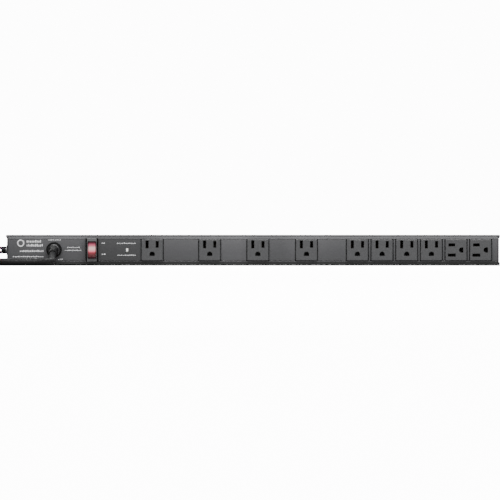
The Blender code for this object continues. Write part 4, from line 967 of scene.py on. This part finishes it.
# ---- camera, lights and stage ------------------------------------------------
LENS = 170
SENSOR = 36
VIEW_DISTANCE = 2.94
CAMERA_X = -3.7 * MM
ROOM_LIGHT = 0.45           # how strongly the surroundings light the object
BACKDROP = 13.0             # and how bright they and the floor look to the camera
FLOOR_GREY = 0.86
FLOOR_BOUNCE = 0.18         # the floor's tone for the light that it sends back
FLOOR_HALF = 6
FLOOR_DROP = 0.5 * MM
CONTACT_REACH = 100 * MM    # how far out the soft shadow round what stands on the floor goes
COIL_SHADE = 0.32           # each one's dark middle, as a share of its size
PLUG_SHADE = 0.2
LIGHTS = (                  # name, place, target, width and height, power
    ("overhead_strip", (0, -0.30, 0.62), (0, 0, 0.01), (1.3, 0.16), 16),
    ("front_fill", (0.2, -2.2, 0.7), (0, 0, 0), (1.8, 1.0), 16),
    ("back_fill", (-0.6, 1.9, 0.9), (-0.1, 0.1, 0), (1.8, 1.0), 22),
)


def build_camera():
    """Straight on to the face, far off with a long lens."""
    data = bpy.data.cameras.new("camera")
    data.lens = LENS
    data.sensor_width = SENSOR
    data.clip_start = 0.01
    camera = bpy.data.objects.new("camera", data)
    bpy.context.scene.collection.objects.link(camera)
    camera.location = (CAMERA_X, FRONT - VIEW_DISTANCE, MID_Z)
    camera.rotation_euler = (pi / 2, 0, 0)
    bpy.context.scene.camera = camera


def area_light(name, place, target, size, power):
    data = bpy.data.lights.new(name, "AREA")
    data.shape = "RECTANGLE"
    data.size, data.size_y = size
    data.energy = power
    light = bpy.data.objects.new(name, data)
    bpy.context.scene.collection.objects.link(light)
    light.location = place
    aim = Vector(target) - Vector(place)
    light.rotation_euler = aim.to_track_quat("-Z", "Y").to_euler()


def seen_or_lit(tree, lit, seen):
    """One value where the camera sees a surface directly and another for the light from it."""
    path = tree.nodes.new("ShaderNodeLightPath")
    value = tree.nodes.new("ShaderNodeMapRange")
    value.inputs["To Min"].default_value = lit
    value.inputs["To Max"].default_value = seen
    tree.links.new(path.outputs["Is Camera Ray"], value.inputs["Value"])
    return value.outputs["Result"]


def build_world():
    """Soft surrounding light, with a near-white backdrop where it is seen directly."""
    world = bpy.data.worlds.new("studio")
    world.use_nodes = True
    bpy.context.scene.world = world
    tree = world.node_tree
    backdrop = tree.nodes["Background"]
    backdrop.inputs["Color"].default_value = (1, 1, 1, 1)
    tree.links.new(seen_or_lit(tree, ROOM_LIGHT, BACKDROP), backdrop.inputs["Strength"])


def contact_fade(shader, centre, half):
    """0 on the floor under a level box, rising to 1 a little way out from it."""
    distance = shader.vector_math(
        ("SUBTRACT", (centre.x, centre.y, 0)), ("ABSOLUTE", None),
        ("SUBTRACT", (half.x, half.y, 0)), ("MAXIMUM", (0, 0, 0)), ("LENGTH", None))
    fade = shader.node("ShaderNodeMapRange", interpolation_type="SMOOTHSTEP")
    fade.inputs["From Max"].default_value = CONTACT_REACH
    shader.link(distance, fade.inputs["Value"])
    return fade.outputs["Result"]


def build_floor():
    """Pale floor with soft contact shadows; it sends back less light than a white one."""
    shader = Shader("floor_finish", (FLOOR_GREY,) * 3, 0.8)
    tone = shader.node("ShaderNodeCombineColor")
    level = seen_or_lit(shader.tree, FLOOR_BOUNCE, FLOOR_GREY)
    for channel in ("Red", "Green", "Blue"):
        shader.link(level, tone.inputs[channel])
    shader.link(tone.outputs["Color"], shader.bsdf.inputs["Base Color"])
    shader.bump(shader.noise(40, 2), 0.0002, 0.2)
    shader.bsdf.inputs["Emission Color"].default_value = (1, 1, 1, 1)
    glow = seen_or_lit(shader.tree, 0, BACKDROP)
    for centre, half in ((Vector((0, 0, 0)), Vector((END_X, BACK, 0))),
                         (COIL_CENTRE, (COIL_HIGH - COIL_LOW) * COIL_SHADE),
                         (PLUG_CENTRE, (PLUG_HIGH - PLUG_LOW) * PLUG_SHADE)):
        dimmed = shader.node("ShaderNodeMath", operation="MULTIPLY")
        shader.link(glow, dimmed.inputs[0])
        shader.link(contact_fade(shader, centre, half), dimmed.inputs[1])
        glow = dimmed.outputs["Value"]
    shader.link(glow, shader.bsdf.inputs["Emission Strength"])
    shape = bmesh.new()
    bmesh.ops.create_grid(shape, x_segments=4, y_segments=4, size=FLOOR_HALF)
    floor = new_object("floor", shape, shader.material)
    floor.location = (0, 0, -FLOOR_DROP)


build_camera()
build_world()
build_floor()
for light_facts in LIGHTS:
    area_light(*light_facts)
